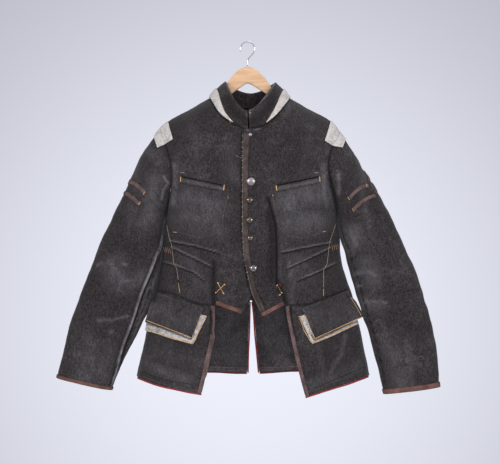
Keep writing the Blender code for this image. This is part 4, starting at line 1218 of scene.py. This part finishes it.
def beside(places: np.ndarray, line: list[Vector], width: float) -> np.ndarray:
    """How near points are to a line, from 0 at its width to 1 on it.

    Args:
        places: The points, one a row.
        line: Points along the line.
        width: How far the line reaches, in metres.

    Returns:
        A share for each point.
    """
    if not line:
        return np.zeros(len(places))
    search = KDTree(len(line))
    for index, point in enumerate(line):
        search.insert(point, index)
    search.balance()
    near = np.array([search.find(place)[2] for place in places])
    return 1 - smooth_share(near, EDGE_CORE, width)


def welded(node: bpy.types.Object, angles: Spot, **options: float) -> bmesh.types.BMesh:
    """Weld a CAD piece's faces and join its triangles.

    Args:
        node: The CAD piece.
        angles: How far two joined triangles may bend and their corners be off square, in degrees.
        options: Further settings of the joining.

    Returns:
        The faces, ready to be worked on.
    """
    work = bmesh.new()
    work.from_mesh(node.data)
    bmesh.ops.remove_doubles(work, verts=work.verts, dist=WELD)
    bend, shape = (math.radians(angle) for angle in angles)
    bmesh.ops.join_triangles(
        work, faces=work.faces[:], angle_face_threshold=bend, angle_shape_threshold=shape, **options
    )
    return work


def mesh_of(work: bmesh.types.BMesh, name: str) -> bpy.types.Mesh:
    """Turn worked faces into a mesh.

    Args:
        work: The faces, which are let go.
        name: The mesh's name.

    Returns:
        The mesh.
    """
    mesh = bpy.data.meshes.new(name)
    work.to_mesh(mesh)
    work.free()
    return mesh


def in_scene(name: str, data: bpy.types.ID) -> bpy.types.Object:
    """Put a mesh, curve, lamp or camera into the scene.

    Args:
        name: The object's name.
        data: What the object shows.

    Returns:
        The object.
    """
    made = bpy.data.objects.new(name, data)
    bpy.context.scene.collection.objects.link(made)
    return made


def subdivide(piece: bpy.types.Object, levels: int) -> None:
    """Round a piece off by dividing its faces.

    Args:
        piece: The piece.
        levels: How many times its faces are divided.
    """
    smooth = piece.modifiers.new("smooth", "SUBSURF")
    smooth.levels = levels
    smooth.render_levels = levels
    apply_modifiers(piece)


def shade_smooth(mesh: bpy.types.Mesh) -> None:
    """Shade a mesh's faces as one rounded surface."""
    mesh.polygons.foreach_set("use_smooth", np.ones(len(mesh.polygons), dtype=bool))


def vertex_places(mesh: bpy.types.Mesh) -> np.ndarray:
    """Read a mesh's points.

    Args:
        mesh: The mesh.

    Returns:
        The points, one a row.
    """
    places = np.empty(len(mesh.vertices) * 3, dtype=np.float32)
    mesh.vertices.foreach_get("co", places)
    return places.reshape(-1, 3).astype(np.float64)


def set_attribute(mesh: bpy.types.Mesh, name: str, values: np.ndarray) -> None:
    """Give each point of a mesh a number."""
    layer = mesh.attributes.new(name, "FLOAT", "POINT")
    layer.data.foreach_set("value", values.astype(np.float32))


def set_grain(mesh: bpy.types.Mesh, grain: np.ndarray) -> None:
    """Lay the flat cloth's places out as the mesh's UV map.

    Args:
        mesh: The mesh.
        grain: Each point's place on the flat cloth, in metres.
    """
    layer = mesh.uv_layers.get("grain") or mesh.uv_layers.new(name="grain")
    corners = np.empty(len(mesh.loops), dtype=np.int32)
    mesh.loops.foreach_get("vertex_index", corners)
    layer.data.foreach_set("uv", grain[corners].astype(np.float32).ravel())


def select_only(piece: bpy.types.Object) -> None:
    """Make a piece the only selected one.

    Args:
        piece: The piece.
    """
    for other in bpy.context.selected_objects:
        other.select_set(False)
    piece.select_set(True)
    bpy.context.view_layer.objects.active = piece


def apply_modifiers(piece: bpy.types.Object) -> None:
    """Turn a piece's modifiers into plain faces.

    Args:
        piece: The piece.
    """
    select_only(piece)
    for modifier in list(piece.modifiers):
        bpy.ops.object.modifier_apply(modifier=modifier.name)


SIDES = ("right", "left")
PIPING_SWELL = 0.55
TAPE_SWELL = 0.8
PIPES = (("skirt", "skirt", 0.26), ("back", "back", 0.26), ("vent", "back", 0.17))
NECK = ("back_right", "back_left", "front_right", "front_left")


def body_cuts() -> list[Cut]:
    """List the body's panels.

    Returns:
        The cuts.
    """
    cuts = []
    for side in SIDES:
        other = "left" if side == "right" else "right"
        front_joins = (f"skirt_{side}", f"back_{side}", f"sleeve_upper_{side}", "collar")
        back_joins = (f"front_{side}", f"skirt_{side}", f"back_{other}", f"sleeve_upper_{side}", "collar")
        skirt_joins = (f"front_{side}", f"back_{side}")
        cuts += [
            Cut(f"front_{side}", BODY, "denim", 3, (0.31, 0.53), 0.11, joins=front_joins),
            Cut(f"back_{side}", BODY, "denim", 3, (0.33, 0.68), 0.154, joins=back_joins),
            Cut(f"skirt_{side}", BODY, "denim", 3, (0.22, 0.26), 0.042, joins=skirt_joins),
        ]
    return cuts


def sleeve_cuts() -> list[Cut]:
    """List the sleeves' upper and under pieces.

    Returns:
        The cuts.
    """
    cuts = []
    for side, form in zip(SIDES, (SLEEVE_RIGHT, SLEEVE_LEFT)):
        for name, other, flat, area in (
            ("upper", "under", (0.27, 0.65), 0.147),
            ("under", "upper", (0.12, 0.5), 0.038),
        ):
            joins = (f"sleeve_{other}_{side}", f"front_{side}", f"back_{side}")
            cuts.append(Cut(f"sleeve_{name}_{side}", form, "denim", 3, flat, area, joins=joins))
    return cuts


def small_cuts() -> list[Cut]:
    """List the collar, flaps, patches and trim.

    Returns:
        The cuts.
    """
    cuts = [
        Cut("collar", COLLAR, "denim", 3, (0.42, 0.075), 0.025, joins=NECK),
        Cut("collar_stand", BODY, "canvas", 2, (0.35, 0.05), 0.0092),
        Cut("placket_strip", BODY, "strip", 2, (0.012, 0.43), 0.005, "front_left"),
    ]
    for side, form in zip(SIDES, (SLEEVE_RIGHT, SLEEVE_LEFT)):
        cuts += [
            Cut(f"hip_flap_{side}", FLAP, "denim", 3, (0.155, 0.075), 0.0104),
            Cut(f"under_flap_{side}", FLAP, "frayed", 3, (0.155, 0.075), 0.0098),
            Cut(f"chest_welt_{side}", BODY, "denim", 2, (0.1, 0.012), 0.0011, f"front_{side}"),
            Cut(f"shoulder_patch_{side}", BODY, "canvas", 2, (0.06, 0.05), 0.0025, f"front_{side}"),
            Cut(f"tail_strip_{side}", BODY, "braid", 2, (0.01, 0.07), 0.0006, f"front_{side}"),
            Cut(f"skirt_strip_{side}", BODY, "tape", 2, (0.01, 0.21), 0.002, f"skirt_{side}"),
        ]
        for name, panel, length in PIPES:
            pipe = Cut(f"{name}_piping_{side}", BODY, "piping", 1, (0.01, length), 0.001, f"{panel}_{side}")
            cuts.append(replace(pipe, swell=PIPING_SWELL, crease=1.0))
        sleeve = f"sleeve_upper_{side}"
        tape = Cut(f"cuff_tape_{side}", form, "braid", 2, (0.28, 0.01), 0.002, sleeve)
        cuts.append(replace(tape, swell=TAPE_SWELL))
        for number in (1, 2):
            for arm in ("front", "back"):
                node = f"chevron_{side}_{number}_{arm}"
                cuts.append(Cut(node, form, "tape", 2, (0.1, 0.01), 0.001, sleeve))
    return cuts


@dataclass
class Garment:
    """All the cloth of the jacket."""

    tailor: Tailor
    cuts: list[Cut] = field(default_factory=list)

    def build(self) -> None:
        """Make every cloth piece."""
        self.cuts = [*body_cuts(), *sleeve_cuts(), *small_cuts()]
        for cut in self.cuts:
            piece = self.tailor.make(cut)

    def dress(self) -> None:
        for cut in self.cuts:
            if cut.lies_on:
                continue
            trims = [self.tailor.made[other.node] for other in self.cuts if other.lies_on == cut.node]


# Buttons, hook and hanger


@dataclass(frozen=True)
class ButtonKind:
    """How one button looks: its face's finish, and its dome's height as a share of its radius."""

    face: str
    dome: float = 0.5


BUTTONS = {
    "button_1": ButtonKind("silver", 0.6),
    "button_2": ButtonKind("silver", 0.42),
    "button_3": ButtonKind("brass"),
    "button_4": ButtonKind("brass"),
    "button_5": ButtonKind("brass"),
    "button_6": ButtonKind("pewter", 0.5),
}


def joined(pieces: Sequence[bpy.types.Object], name: str) -> bpy.types.Object:
    """Join pieces into one mesh.

    Args:
        pieces: The pieces.
        name: The joined piece's name.

    Returns:
        The joined piece.
    """
    select_only(pieces[0])
    for piece in pieces:
        piece.select_set(True)
    bpy.ops.object.join()
    made = bpy.context.view_layer.objects.active
    made.name = name
    made.data.name = name
    made.select_set(False)
    return made


@dataclass
class Buttons:
    """The row of domed buttons down the front edge."""

    frame: dict
    finishes: Finishes
    domes: list[bpy.types.Object] = field(default_factory=list)

    def dome(self, kind: ButtonKind) -> bpy.types.Object:
        """Model a button of radius 1 m about Z, with its face upward.

        Args:
            kind: Its look.

        Returns:
            The button, dome in the first finish and rim and back in the second.
        """
        bpy.ops.mesh.primitive_uv_sphere_add(segments=40, ring_count=20, radius=0.9)
        cap = bpy.context.object
        cap.scale = (1, 1, kind.dome)
        bpy.ops.object.transform_apply(location=False, rotation=False, scale=True)
        self.finishes.put(cap, kind.face)
        bpy.ops.mesh.primitive_torus_add(
            major_segments=40, minor_segments=12, major_radius=0.90, minor_radius=0.10
        )
        rim = bpy.context.object
        self.finishes.put(rim, "brass")
        bpy.ops.mesh.primitive_cylinder_add(vertices=40, radius=0.84, depth=0.34, location=(0, 0, -0.12))
        back = bpy.context.object
        bevel = back.modifiers.new("bevel", "BEVEL")
        bevel.width = 0.06
        bevel.segments = 3
        apply_modifiers(back)
        bpy.ops.object.transform_apply()
        self.finishes.put(back, "brass")
        return joined([cap, rim, back], "button")

    def build(self) -> None:
        """Model each button at its CAD button's place, size and slant."""
        for name, kind in BUTTONS.items():
            node = self.frame["nodes"][name]
            places = vertex_places(node.data)
            middle = (places.max(axis=0) + places.min(axis=0)) / 2
            _, _, ways = np.linalg.svd(places - places.mean(axis=0), full_matrices=False)
            out = ways[2] if ways[2][1] < 0 else -ways[2]
            reach = (places - middle) @ out
            flat = places - middle - reach[:, None] * out
            radius = np.linalg.norm(flat, axis=1).max()
            seat = middle + out * (reach.max() - kind.dome * radius * 0.9)
            piece = self.dome(kind)
            turn = Vector(out).to_track_quat("Z", "Y").to_matrix().to_4x4()
            piece.data.transform(Matrix.Translation(seat) @ turn @ Matrix.Scale(radius, 4))
            select_only(piece)
            bpy.ops.object.shade_smooth_by_angle(angle=math.radians(50))
            piece.select_set(False)
            piece.name = name + "_metal"
            height = (vertex_places(piece.data)[:, 2] - seat[2]) / radius
            # Painted shade: each button is darkened towards its bottom.
            set_attribute(piece.data, "seam", 0.8 * (1 - smooth_share(height, -0.75, 0.25)))
            self.domes.append(piece)

    def dress(self) -> None:
        """Tie the buttons to their CAD nodes."""
        for name, piece in zip(BUTTONS, self.domes):
            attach(piece, "root")
            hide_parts(name)


@dataclass
class Hanger:
    """The wooden hanger and its wire hook."""

    frame: dict
    finishes: Finishes
    parts: list[bpy.types.Object] = field(default_factory=list)

    def smooth_copy(self, node: str, name: str, levels: int) -> bpy.types.Object:
        """Copy a CAD piece, weld it and round it off.

        Args:
            node: The CAD piece.
            name: The copy's name.
            levels: How many times its faces are divided.

        Returns:
            The rounded copy.
        """
        piece = in_scene(name, mesh_of(welded(self.frame["nodes"][node], HANGER_WELD), name))
        subdivide(piece, levels)
        shade_smooth(piece.data)
        piece.select_set(False)
        return piece

    def build(self) -> None:
        """Make the hanger and the hook."""
        wood = self.smooth_copy("hanger", "hanger_wood", 2)
        wire = self.smooth_copy("hook", "hook_wire", 1)
        self.finishes.put(wood, "wood")
        self.finishes.put(wire, "chrome")
        self.parts = [wood, wire]

    def dress(self) -> None:
        """Tie both to their CAD nodes."""
        for piece, node, name in zip(self.parts, ("hanger", "hook"), ("wood", "steel")):
            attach(piece, "root")
            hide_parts(node)


# Stitching


@dataclass(frozen=True)
class Seam:
    """A row of stitches, by its line in picture steps. Sizes in mm."""

    points: tuple[Spot, ...]
    thread: str
    thick: float
    pitch: float = 3.0
    length: float = 3.2


@dataclass(frozen=True)
class Tack:
    """One bar of thread from one spot to another in the picture, with its thickness in mm."""

    start: Spot
    stop: Spot
    thick: float
    thread: str = "gold_thread"


SEAMS = (
    Seam(
        ((166.8, 225), (169, 236.5), (171.4, 244), (173, 255.6), (173.7, 263), (176.8, 268.6), (178.3, 280)),
        "tan_thread", 1.3,
    ),
    Seam(((178.3, 283), (180, 293)), "gold_thread", 1.3, 3.4, 3.1),
    Seam(
        ((336, 223), (329.6, 242), (328.7, 249.5), (327, 264.4), (323.5, 269.6), (323.5, 288)),
        "tan_thread", 1.3,
    ),
    Seam(((323.5, 289), (323.5, 296)), "gold_thread", 1.3, 3.4, 3.1),
    Seam(
        (
            (227.3, 198), (223, 215), (222, 225), (215, 234),
            (205, 238), (196, 237), (183.7, 233.4), (177, 232),
        ),
        "brown_thread", 0.5, 4.4, 2.9,
    ),
    Seam(
        (
            (273, 198), (275.7, 213.8), (279.8, 228.8), (286.4, 234.6),
            (293, 237), (303, 238), (313, 235.4), (322, 232.4),
        ),
        "brown_thread", 0.5, 4.4, 2.9,
    ),
    Seam(((141.5, 371.5), (158, 377.5), (176, 382), (192, 384.5)), "dark_thread_and_shade_cord", 0.9, 3.4, 3),
    Seam(((314, 389), (340, 377), (367, 366)), "dark_thread_and_shade_cord", 0.9, 3.4, 3),
    Seam(((208, 366.8), (246.6, 368)), "brown_thread", 0.8, 3.2, 3),
    Seam(((258.4, 367.8), (301, 366.2)), "brown_thread", 0.8, 3.2, 3),
    Seam(((146.6, 320.4), (168, 328.6), (191.6, 337.6), (196.5, 327), (202.4, 315.9)), "gold_thread", 1.7),
    Seam(
        ((147, 329.2), (168, 337), (191.6, 343.6), (193.9, 342.4), (200, 329), (204.6, 316.9)),
        "gold_thread", 2.2,
    ),
    Seam(((361.8, 317), (340, 327), (314.9, 338.6), (310, 327.5), (305.4, 315.6)), "gold_thread", 1.7),
    Seam(
        ((356, 324), (336, 333), (313.8, 342.8), (311, 342.2), (304, 330), (299.4, 317.2)),
        "gold_thread", 2.4,
    ),
    Seam(((350.6, 297.2), (356, 306), (361.6, 316.4)), "gold_thread", 1.2),
    # Unbroken dark cords along the darts, the welt openings and beside the sleeve stripe: painted shade in
    # the grooves.
    *(Seam(line, "dark_thread_and_shade_cord", 1.1) for line in DART_LINES),
    Seam(((182, 177), (222.8, 185.4)), "dark_thread_and_shade_cord", 1.9),
    Seam(((277.8, 185.4), (318.5, 177)), "dark_thread_and_shade_cord", 1.9),
    Seam(STRIPE_SIDE, "dark_thread_and_shade_cord", 1.3),
    Seam(((217.4, 92), (221.4, 103.5), (225.6, 114), (231, 123.2)), "gold_thread", 0.9, 3, 3),
    Seam(((282.2, 92.8), (277, 104), (271.2, 114.4), (265.8, 123)), "gold_thread", 0.9, 3, 3),
    Seam(((160.4, 129.5), (162.6, 136.5), (165.4, 144)), "dark_thread_and_shade_cord", 0.7, 3.4, 2.6),
    Seam(((163.2, 127), (166.2, 136), (168.6, 142.8)), "tan_thread", 0.5, 3.4, 2.2),
    Seam(((339.9, 132.4), (337.4, 138), (334.4, 142.8)), "dark_thread_and_shade_cord", 0.7, 3.4, 2.6),
    Seam(((336.2, 130.4), (333.2, 136.4), (330.6, 141.4)), "tan_thread", 0.5, 3.4, 2.2),
    Seam(FRONT_EDGE, "tan_thread", 0.6, 3.4, 2.8),
)

TACKS = (
    Tack((180.9, 176.6), (180.5, 182), 2.4),
    Tack((224.4, 184.8), (223.6, 190.2), 2.4),
    Tack((276, 185.4), (276.8, 190.8), 2.4),
    Tack((319.2, 176.4), (319.9, 181.8), 2.4),
    Tack((180.6, 172.4), (184.4, 173), 1.5, "tan_thread"),
    Tack((314.6, 173), (318.4, 172.4), 1.5, "tan_thread"),
    Tack((173, 232), (176.7, 232.3), 1.6),
    Tack((322.6, 231.8), (325.8, 231.2), 1.8),
    Tack((227.6, 196), (228.2, 198.6), 1.1),
    Tack((223.4, 214.6), (222.7, 217.6), 1.3, "brown_thread"),
    Tack((272.6, 194.4), (273.2, 196.8), 1.1),
    Tack((217.8, 282.8), (223.6, 293.6), 1.3),
    Tack((217.7, 282.4), (218.3, 283.6), 3),
    Tack((223.2, 292.6), (223.8, 293.8), 3),
    Tack((224.6, 284.4), (215.9, 292.8), 1.3),
    Tack((224.2, 284.9), (225, 284.1), 3),
    Tack((215.6, 293), (216.4, 292.2), 3),
    Tack((278.2, 286), (281.2, 292.8), 1.2, "brown_thread"),
    Tack((277.8, 284.6), (276.6, 286.2), 2.4),
    Tack((279.4, 283.4), (280.4, 286), 1.6, "red_thread"),
    Tack((281.2, 292.2), (281.8, 293.4), 2.8),
    Tack((280.4, 294.2), (279.2, 295.4), 2.4),
    Tack((144.8, 191.6), (143.2, 194.8), 1.3),
    Tack((140.2, 201.4), (138.6, 204.8), 1.3),
    Tack((347.6, 196.8), (349.6, 199.8), 1.3),
    Tack((352.2, 208.4), (354.2, 211.6), 1.3),
    Tack((366, 183.8), (367.4, 187), 1.3),
    Tack((249, 112.8), (251.2, 113.2), 0.8),
    Tack((246.4, 114), (246.8, 117.2), 0.9, "brown_thread"),
    Tack((235.2, 155.2), (238.6, 157), 0.45, "pale_thread"),
    Tack((238.6, 157), (242.6, 158.2), 0.45, "pale_thread"),
    Tack((256.4, 342), (257.6, 347), 1.6, "red_thread"),
    Tack((255.6, 345.2), (258.2, 343.8), 1.2, "red_thread"),
    Tack((202, 315), (206.6, 316.4), 1.9),
    Tack((298.2, 316.8), (302.4, 315.8), 1.9),
)

TACK_ROWS = (
    (163.6, 246.6, 2, 0.5, 4),
    (331.8, 245.2, 1.9, -0.5, 4),
)
TACK_ROW_LEAN, TACK_ROW_DROP, TACK_ROW_THICK = 1.1, 5.6, 0.8
STITCH_ARCH = ((0.0, -0.1), (0.33, 0.35), (0.67, 0.35), (1.0, -0.1))
TACK_ARCH = ((0.0, -0.1), (0.15, 0.3), (0.5, 0.35), (0.85, 0.3), (1.0, -0.1))
THREAD_TIP = 0.55
TICK_TOP, TICK_END, TICK_GAP = 136.0, 281.0, 5.0
TICK_INSET, TICK_STRAY, TICK_RISE, TICK_THICK = 1.1, 0.2, 0.4, 0.9
TICK_REACH = (1.2, 2.0)
TICK_SPACING = (0.8, 1.5)


@dataclass
class Stitching:
    """Stitches, bar tacks and loose threads that lie on the cloth, and dark cords of painted shade along its
    grooves.
    """

    tailor: Tailor
    finishes: Finishes
    strokes: dict[str, list[tuple[list[Vector], float]]] = field(default_factory=dict)
    pieces: list[bpy.types.Object] = field(default_factory=list)

    def cloth(self) -> BVHTree:
        """Gather all the finished cloth.

        Returns:
            A search tree of its faces.
        """
        corners: list[np.ndarray] = []
        faces: list[list[int]] = []
        first = 0
        for piece in self.tailor.made.values():
            mesh = piece.data
            corners.append(vertex_places(mesh))
            sides = np.empty(len(mesh.loops), dtype=np.int32)
            mesh.loops.foreach_get("vertex_index", sides)
            starts = np.empty(len(mesh.polygons), dtype=np.int32)
            mesh.polygons.foreach_get("loop_start", starts)
            ends = [*starts[1:], len(sides)]
            sides = (sides + first).tolist()
            faces += [sides[start:end] for start, end in zip(starts.tolist(), ends)]
            first += len(mesh.vertices)
        return BVHTree.FromPolygons(np.concatenate(corners).tolist(), faces)

    def seen(self, tree: BVHTree, spot: Spot, lift: float) -> Vector | None:
        """Find the cloth at a spot of the picture.

        Args:
            tree: The cloth.
            spot: The place in steps across and down.
            lift: How far the point stands off the cloth, in metres.

        Returns:
            The point, or None where no cloth shows.
        """
        aim = Vector(
            (
                EYE.x + (spot[0] - PICTURE_MIDDLE[0]) * STEP,
                0.0,
                EYE.z - (spot[1] - PICTURE_MIDDLE[1]) * STEP,
            )
        )
        way = (aim - EYE).normalized()
        place, normal, _, _ = tree.ray_cast(EYE, way)
        if place is None:
            return None
        return place + (normal if normal.dot(way) < 0 else -normal) * lift

    def lay(self, thread: str, points: list[Vector | None], thick: float) -> None:
        """Keep a stroke of thread to be drawn, if all of it lies on cloth."""
        if len(points) > 1 and all(point is not None for point in points):
            self.strokes.setdefault(thread, []).append((list(points), thick * MM / 2))

    def sew(self, tree: BVHTree, seam: Seam) -> None:
        """Lay a seam's stitches one after another.

        Args:
            tree: The cloth.
            seam: The seam.
        """
        line = [np.array(point) for point in seam.points]
        spans = [float(np.linalg.norm(b - a)) for a, b in zip(line, line[1:])]
        total = sum(spans)
        pitch = seam.pitch * MM / STEP
        length = seam.length * MM / STEP

        def at(run: float) -> Spot:
            """Find a place along the seam.

            Args:
                run: How far along, in picture steps.

            Returns:
                The place.
            """
            for start, stop, span in zip(line, line[1:], spans):
                if run <= span:
                    spot = start + (stop - start) * run / span
                    return float(spot[0]), float(spot[1])
                run -= span
            return float(line[-1][0]), float(line[-1][1])

        run = 0.0
        while run + length < total:
            points = [
                self.seen(tree, at(run + length * share), lift * seam.thick * MM)
                for share, lift in STITCH_ARCH
            ]
            self.lay(seam.thread, points, seam.thick)
            run += pitch

    def tack(self, tree: BVHTree, tack: Tack) -> None:
        """Lay one bar of thread.

        Args:
            tree: The cloth.
            tack: The bar.
        """
        start, stop = np.array(tack.start), np.array(tack.stop)
        points = []
        for share, lift in TACK_ARCH:
            spot = start + (stop - start) * share
            points.append(self.seen(tree, (float(spot[0]), float(spot[1])), lift * tack.thick * MM))
        self.lay(tack.thread, points, tack.thick)

    def ticks(self, tree: BVHTree) -> None:
        """Lay the short uneven stitches along the front edge.

        Args:
            tree: The cloth.
        """
        chance = random.Random(7)
        down = TICK_TOP
        while down < TICK_END:
            across = np.interp(down, [y for _, y in FRONT_EDGE], [x for x, _ in FRONT_EDGE])
            across = across - TICK_INSET + chance.uniform(-TICK_STRAY, TICK_STRAY)
            end = (across + chance.uniform(*TICK_REACH), down - TICK_RISE)
            self.tack(tree, Tack((across, down), end, TICK_THICK, "pale_thread"))
            down += TICK_GAP * chance.uniform(*TICK_SPACING)

    def build(self) -> None:
        """Lay every seam and tack on the cloth and draw them."""
        tree = self.cloth()
        for seam in SEAMS:
            self.sew(tree, seam)
        for tack in TACKS:
            self.tack(tree, tack)
        for left, top, gap, slope, count in TACK_ROWS:
            for index in range(count):
                across = left + gap * index
                down = top + slope * index
                end = (across + TACK_ROW_LEAN, down + TACK_ROW_DROP)
                self.tack(tree, Tack((across, down), end, TACK_ROW_THICK, "rust_thread"))
        self.ticks(tree)
        for thread, strokes in self.strokes.items():
            self.pieces.append(self.draw(thread, strokes))

    def draw(self, thread: str, strokes: list[tuple[list[Vector], float]]) -> bpy.types.Object:
        """Turn strokes into round threads.

        Args:
            thread: The finish.
            strokes: Each stroke's points and radius in metres.

        Returns:
            All the strokes in one mesh.
        """
        curve = bpy.data.curves.new("stitches_" + thread, "CURVE")
        curve.dimensions = "3D"
        curve.bevel_depth = 1.0
        curve.bevel_resolution = 1
        curve.use_fill_caps = True
        for points, radius in strokes:
            spline = curve.splines.new("POLY")
            spline.points.add(len(points) - 1)
            last = len(points) - 1
            for index, (point, place) in enumerate(zip(spline.points, points)):
                point.co = (*place, 1.0)
                point.radius = radius * (THREAD_TIP if index in (0, last) else 1.0)
        select_only(in_scene("stitches_" + thread, curve))
        bpy.ops.object.convert(target="MESH")
        piece = bpy.context.view_layer.objects.active
        work = bmesh.new()
        work.from_mesh(piece.data)
        bmesh.ops.remove_doubles(work, verts=work.verts, dist=WELD)
        bmesh.ops.recalc_face_normals(work, faces=work.faces)
        work.to_mesh(piece.data)
        work.free()
        shade_smooth(piece.data)
        piece.select_set(False)
        self.finishes.put(piece, thread)
        return piece

    def dress(self) -> None:
        """Tie the threads to the jacket."""
        for piece in self.pieces:
            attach(piece, "root")


# Studio


@dataclass(frozen=True)
class Softbox:
    """A square lamp: where it stands, what it points at, its side in metres and its power.

    mirrored says whether it shows in shiny things.
    """

    name: str
    place: Colour
    aim: Colour
    side: float
    power: float
    mirrored: bool = True


LAMPS = (
    Softbox("left", (-2.5, -2.3, 0.7), (0, 0, -0.5), 1.1, 36),
    Softbox("right", (2.5, -2.3, 0.5), (0, 0, -0.5), 1.1, 33),
    Softbox("front", (0.1, -3.4, -0.95), (0, 0, -0.6), 0.8, 46, False),
    Softbox("top", (0.6, 0.4, 2), (0, 0, -0.4), 1.4, 20),
)


@dataclass
class Studio:
    """Camera, lamps, a pale glowing wall far behind, with painted light falloff, and a floor far below."""

    wall: Colour = (0.86, 0.88, 0.98)
    corner: Colour = (0.490, 0.492, 0.560)
    haze: Colour = (0.80, 0.81, 0.86)
    strength: float = 0.62
    wall_distance: float = 4.3

    def lamp(self, lamp: Softbox) -> None:
        """Hang one lamp.

        Args:
            lamp: The lamp.
        """
        data = bpy.data.lights.new(lamp.name, "AREA")
        data.size = lamp.side
        data.energy = lamp.power
        light = in_scene(lamp.name, data)
        light.location = lamp.place
        light.visible_glossy = lamp.mirrored
        way = Vector(lamp.aim) - Vector(lamp.place)
        light.rotation_euler = way.to_track_quat("-Z", "Y").to_euler()

    def backdrop(self) -> bpy.types.Object:
        """Make the wall, which glows with its own light and darkens a little towards its top and corners:
        painted light falloff.

        Returns:
            The wall.
        """
        bpy.ops.mesh.primitive_plane_add(size=1.0)
        wall = bpy.context.object
        wall.name = "wall"
        turn = Matrix.Rotation(math.pi / 2, 4, "X")
        wall.data.transform(Matrix.Translation((0, self.wall_distance, 0)) @ turn @ Matrix.Scale(14, 4))
        shader = Shader("wall")
        offset = shader.node(
            "ShaderNodeVectorMath",
            {"operation": "MULTIPLY_ADD"},
            {0: shader.place(), 1: (0.62, 0.0, 0.62), 2: (0.0, 0.0, 0.62)},
        )
        far = shader.node("ShaderNodeVectorMath", {"operation": "LENGTH"}, {0: offset}, 1)
        # Painted light: the wall's glow fades from its bright middle towards the corner colour.
        colour = shader.blend(shader.remap(far, 0.1, 1.9), self.wall, self.corner)
        wall.data.materials.append(
            shader.surface(
                {
                    "Base Color": (0.0, 0.0, 0.0, 1.0),
                    "Roughness": 1.0,
                    "Specular IOR Level": 0.0,
                    "Emission Color": colour,
                    "Emission Strength": 1.0,
                }
            )
        )
        return wall

    def floor(self) -> bpy.types.Object:
        """Make the floor, below what the camera sees.

        Returns:
            The floor.
        """
        bpy.ops.mesh.primitive_plane_add(size=8.0, location=(0, 0, -1.9))
        floor = bpy.context.object
        floor.name = "floor"
        shader = Shader("floor")
        floor.data.materials.append(
            shader.surface({"Base Color": (0.72, 0.74, 0.76, 1.0), "Roughness": 0.9})
        )
        return floor

    def build(self) -> None:
        """Set up the camera, lamps, surroundings, wall and floor."""
        camera = in_scene("camera", bpy.data.cameras.new("camera"))
        camera.location = EYE
        camera.rotation_euler = (math.pi / 2, 0, 0)
        camera.data.lens = LENS
        camera.data.sensor_width = SENSOR
        bpy.context.scene.camera = camera
        for lamp in LAMPS:
            self.lamp(lamp)
        world = bpy.data.worlds.new("surroundings")
        bpy.context.scene.world = world
        world.use_nodes = True
        background = world.node_tree.nodes["Background"]
        background.inputs["Color"].default_value = (*self.haze, 1.0)
        background.inputs["Strength"].default_value = self.strength
        bpy.context.scene.view_settings.view_transform = "Standard"
        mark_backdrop(self.backdrop(), self.floor())


def corners() -> list[list[float]]:
    """The shown object's lowest and highest corner, as plain lists."""
    low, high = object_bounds()
    return [list(low), list(high)]


def main() -> None:
    """Build the jacket, its hanger and the studio."""
    logging.basicConfig(level=logging.INFO, format="%(message)s")
    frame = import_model()
    finishes = Finishes()
    tailor = Tailor(frame, finishes)
    hanger = Hanger(frame, finishes)
    hanger.build()
    hanger.dress()
    log.info("hanger: %s", [piece.name for piece in hanger.parts])
    garment = Garment(tailor)
    garment.build()
    garment.dress()
    for name, piece in tailor.made.items():
        log.info("%s: %d faces", name, len(piece.data.polygons))
    buttons = Buttons(frame, finishes)
    buttons.build()
    buttons.dress()
    log.info("buttons: %d", len(buttons.domes))
    stitching = Stitching(tailor, finishes)
    stitching.build()
    stitching.dress()
    log.info("stitching: %s", [piece.name for piece in stitching.pieces])
    Studio().build()


if __name__ == "__main__":
    main()
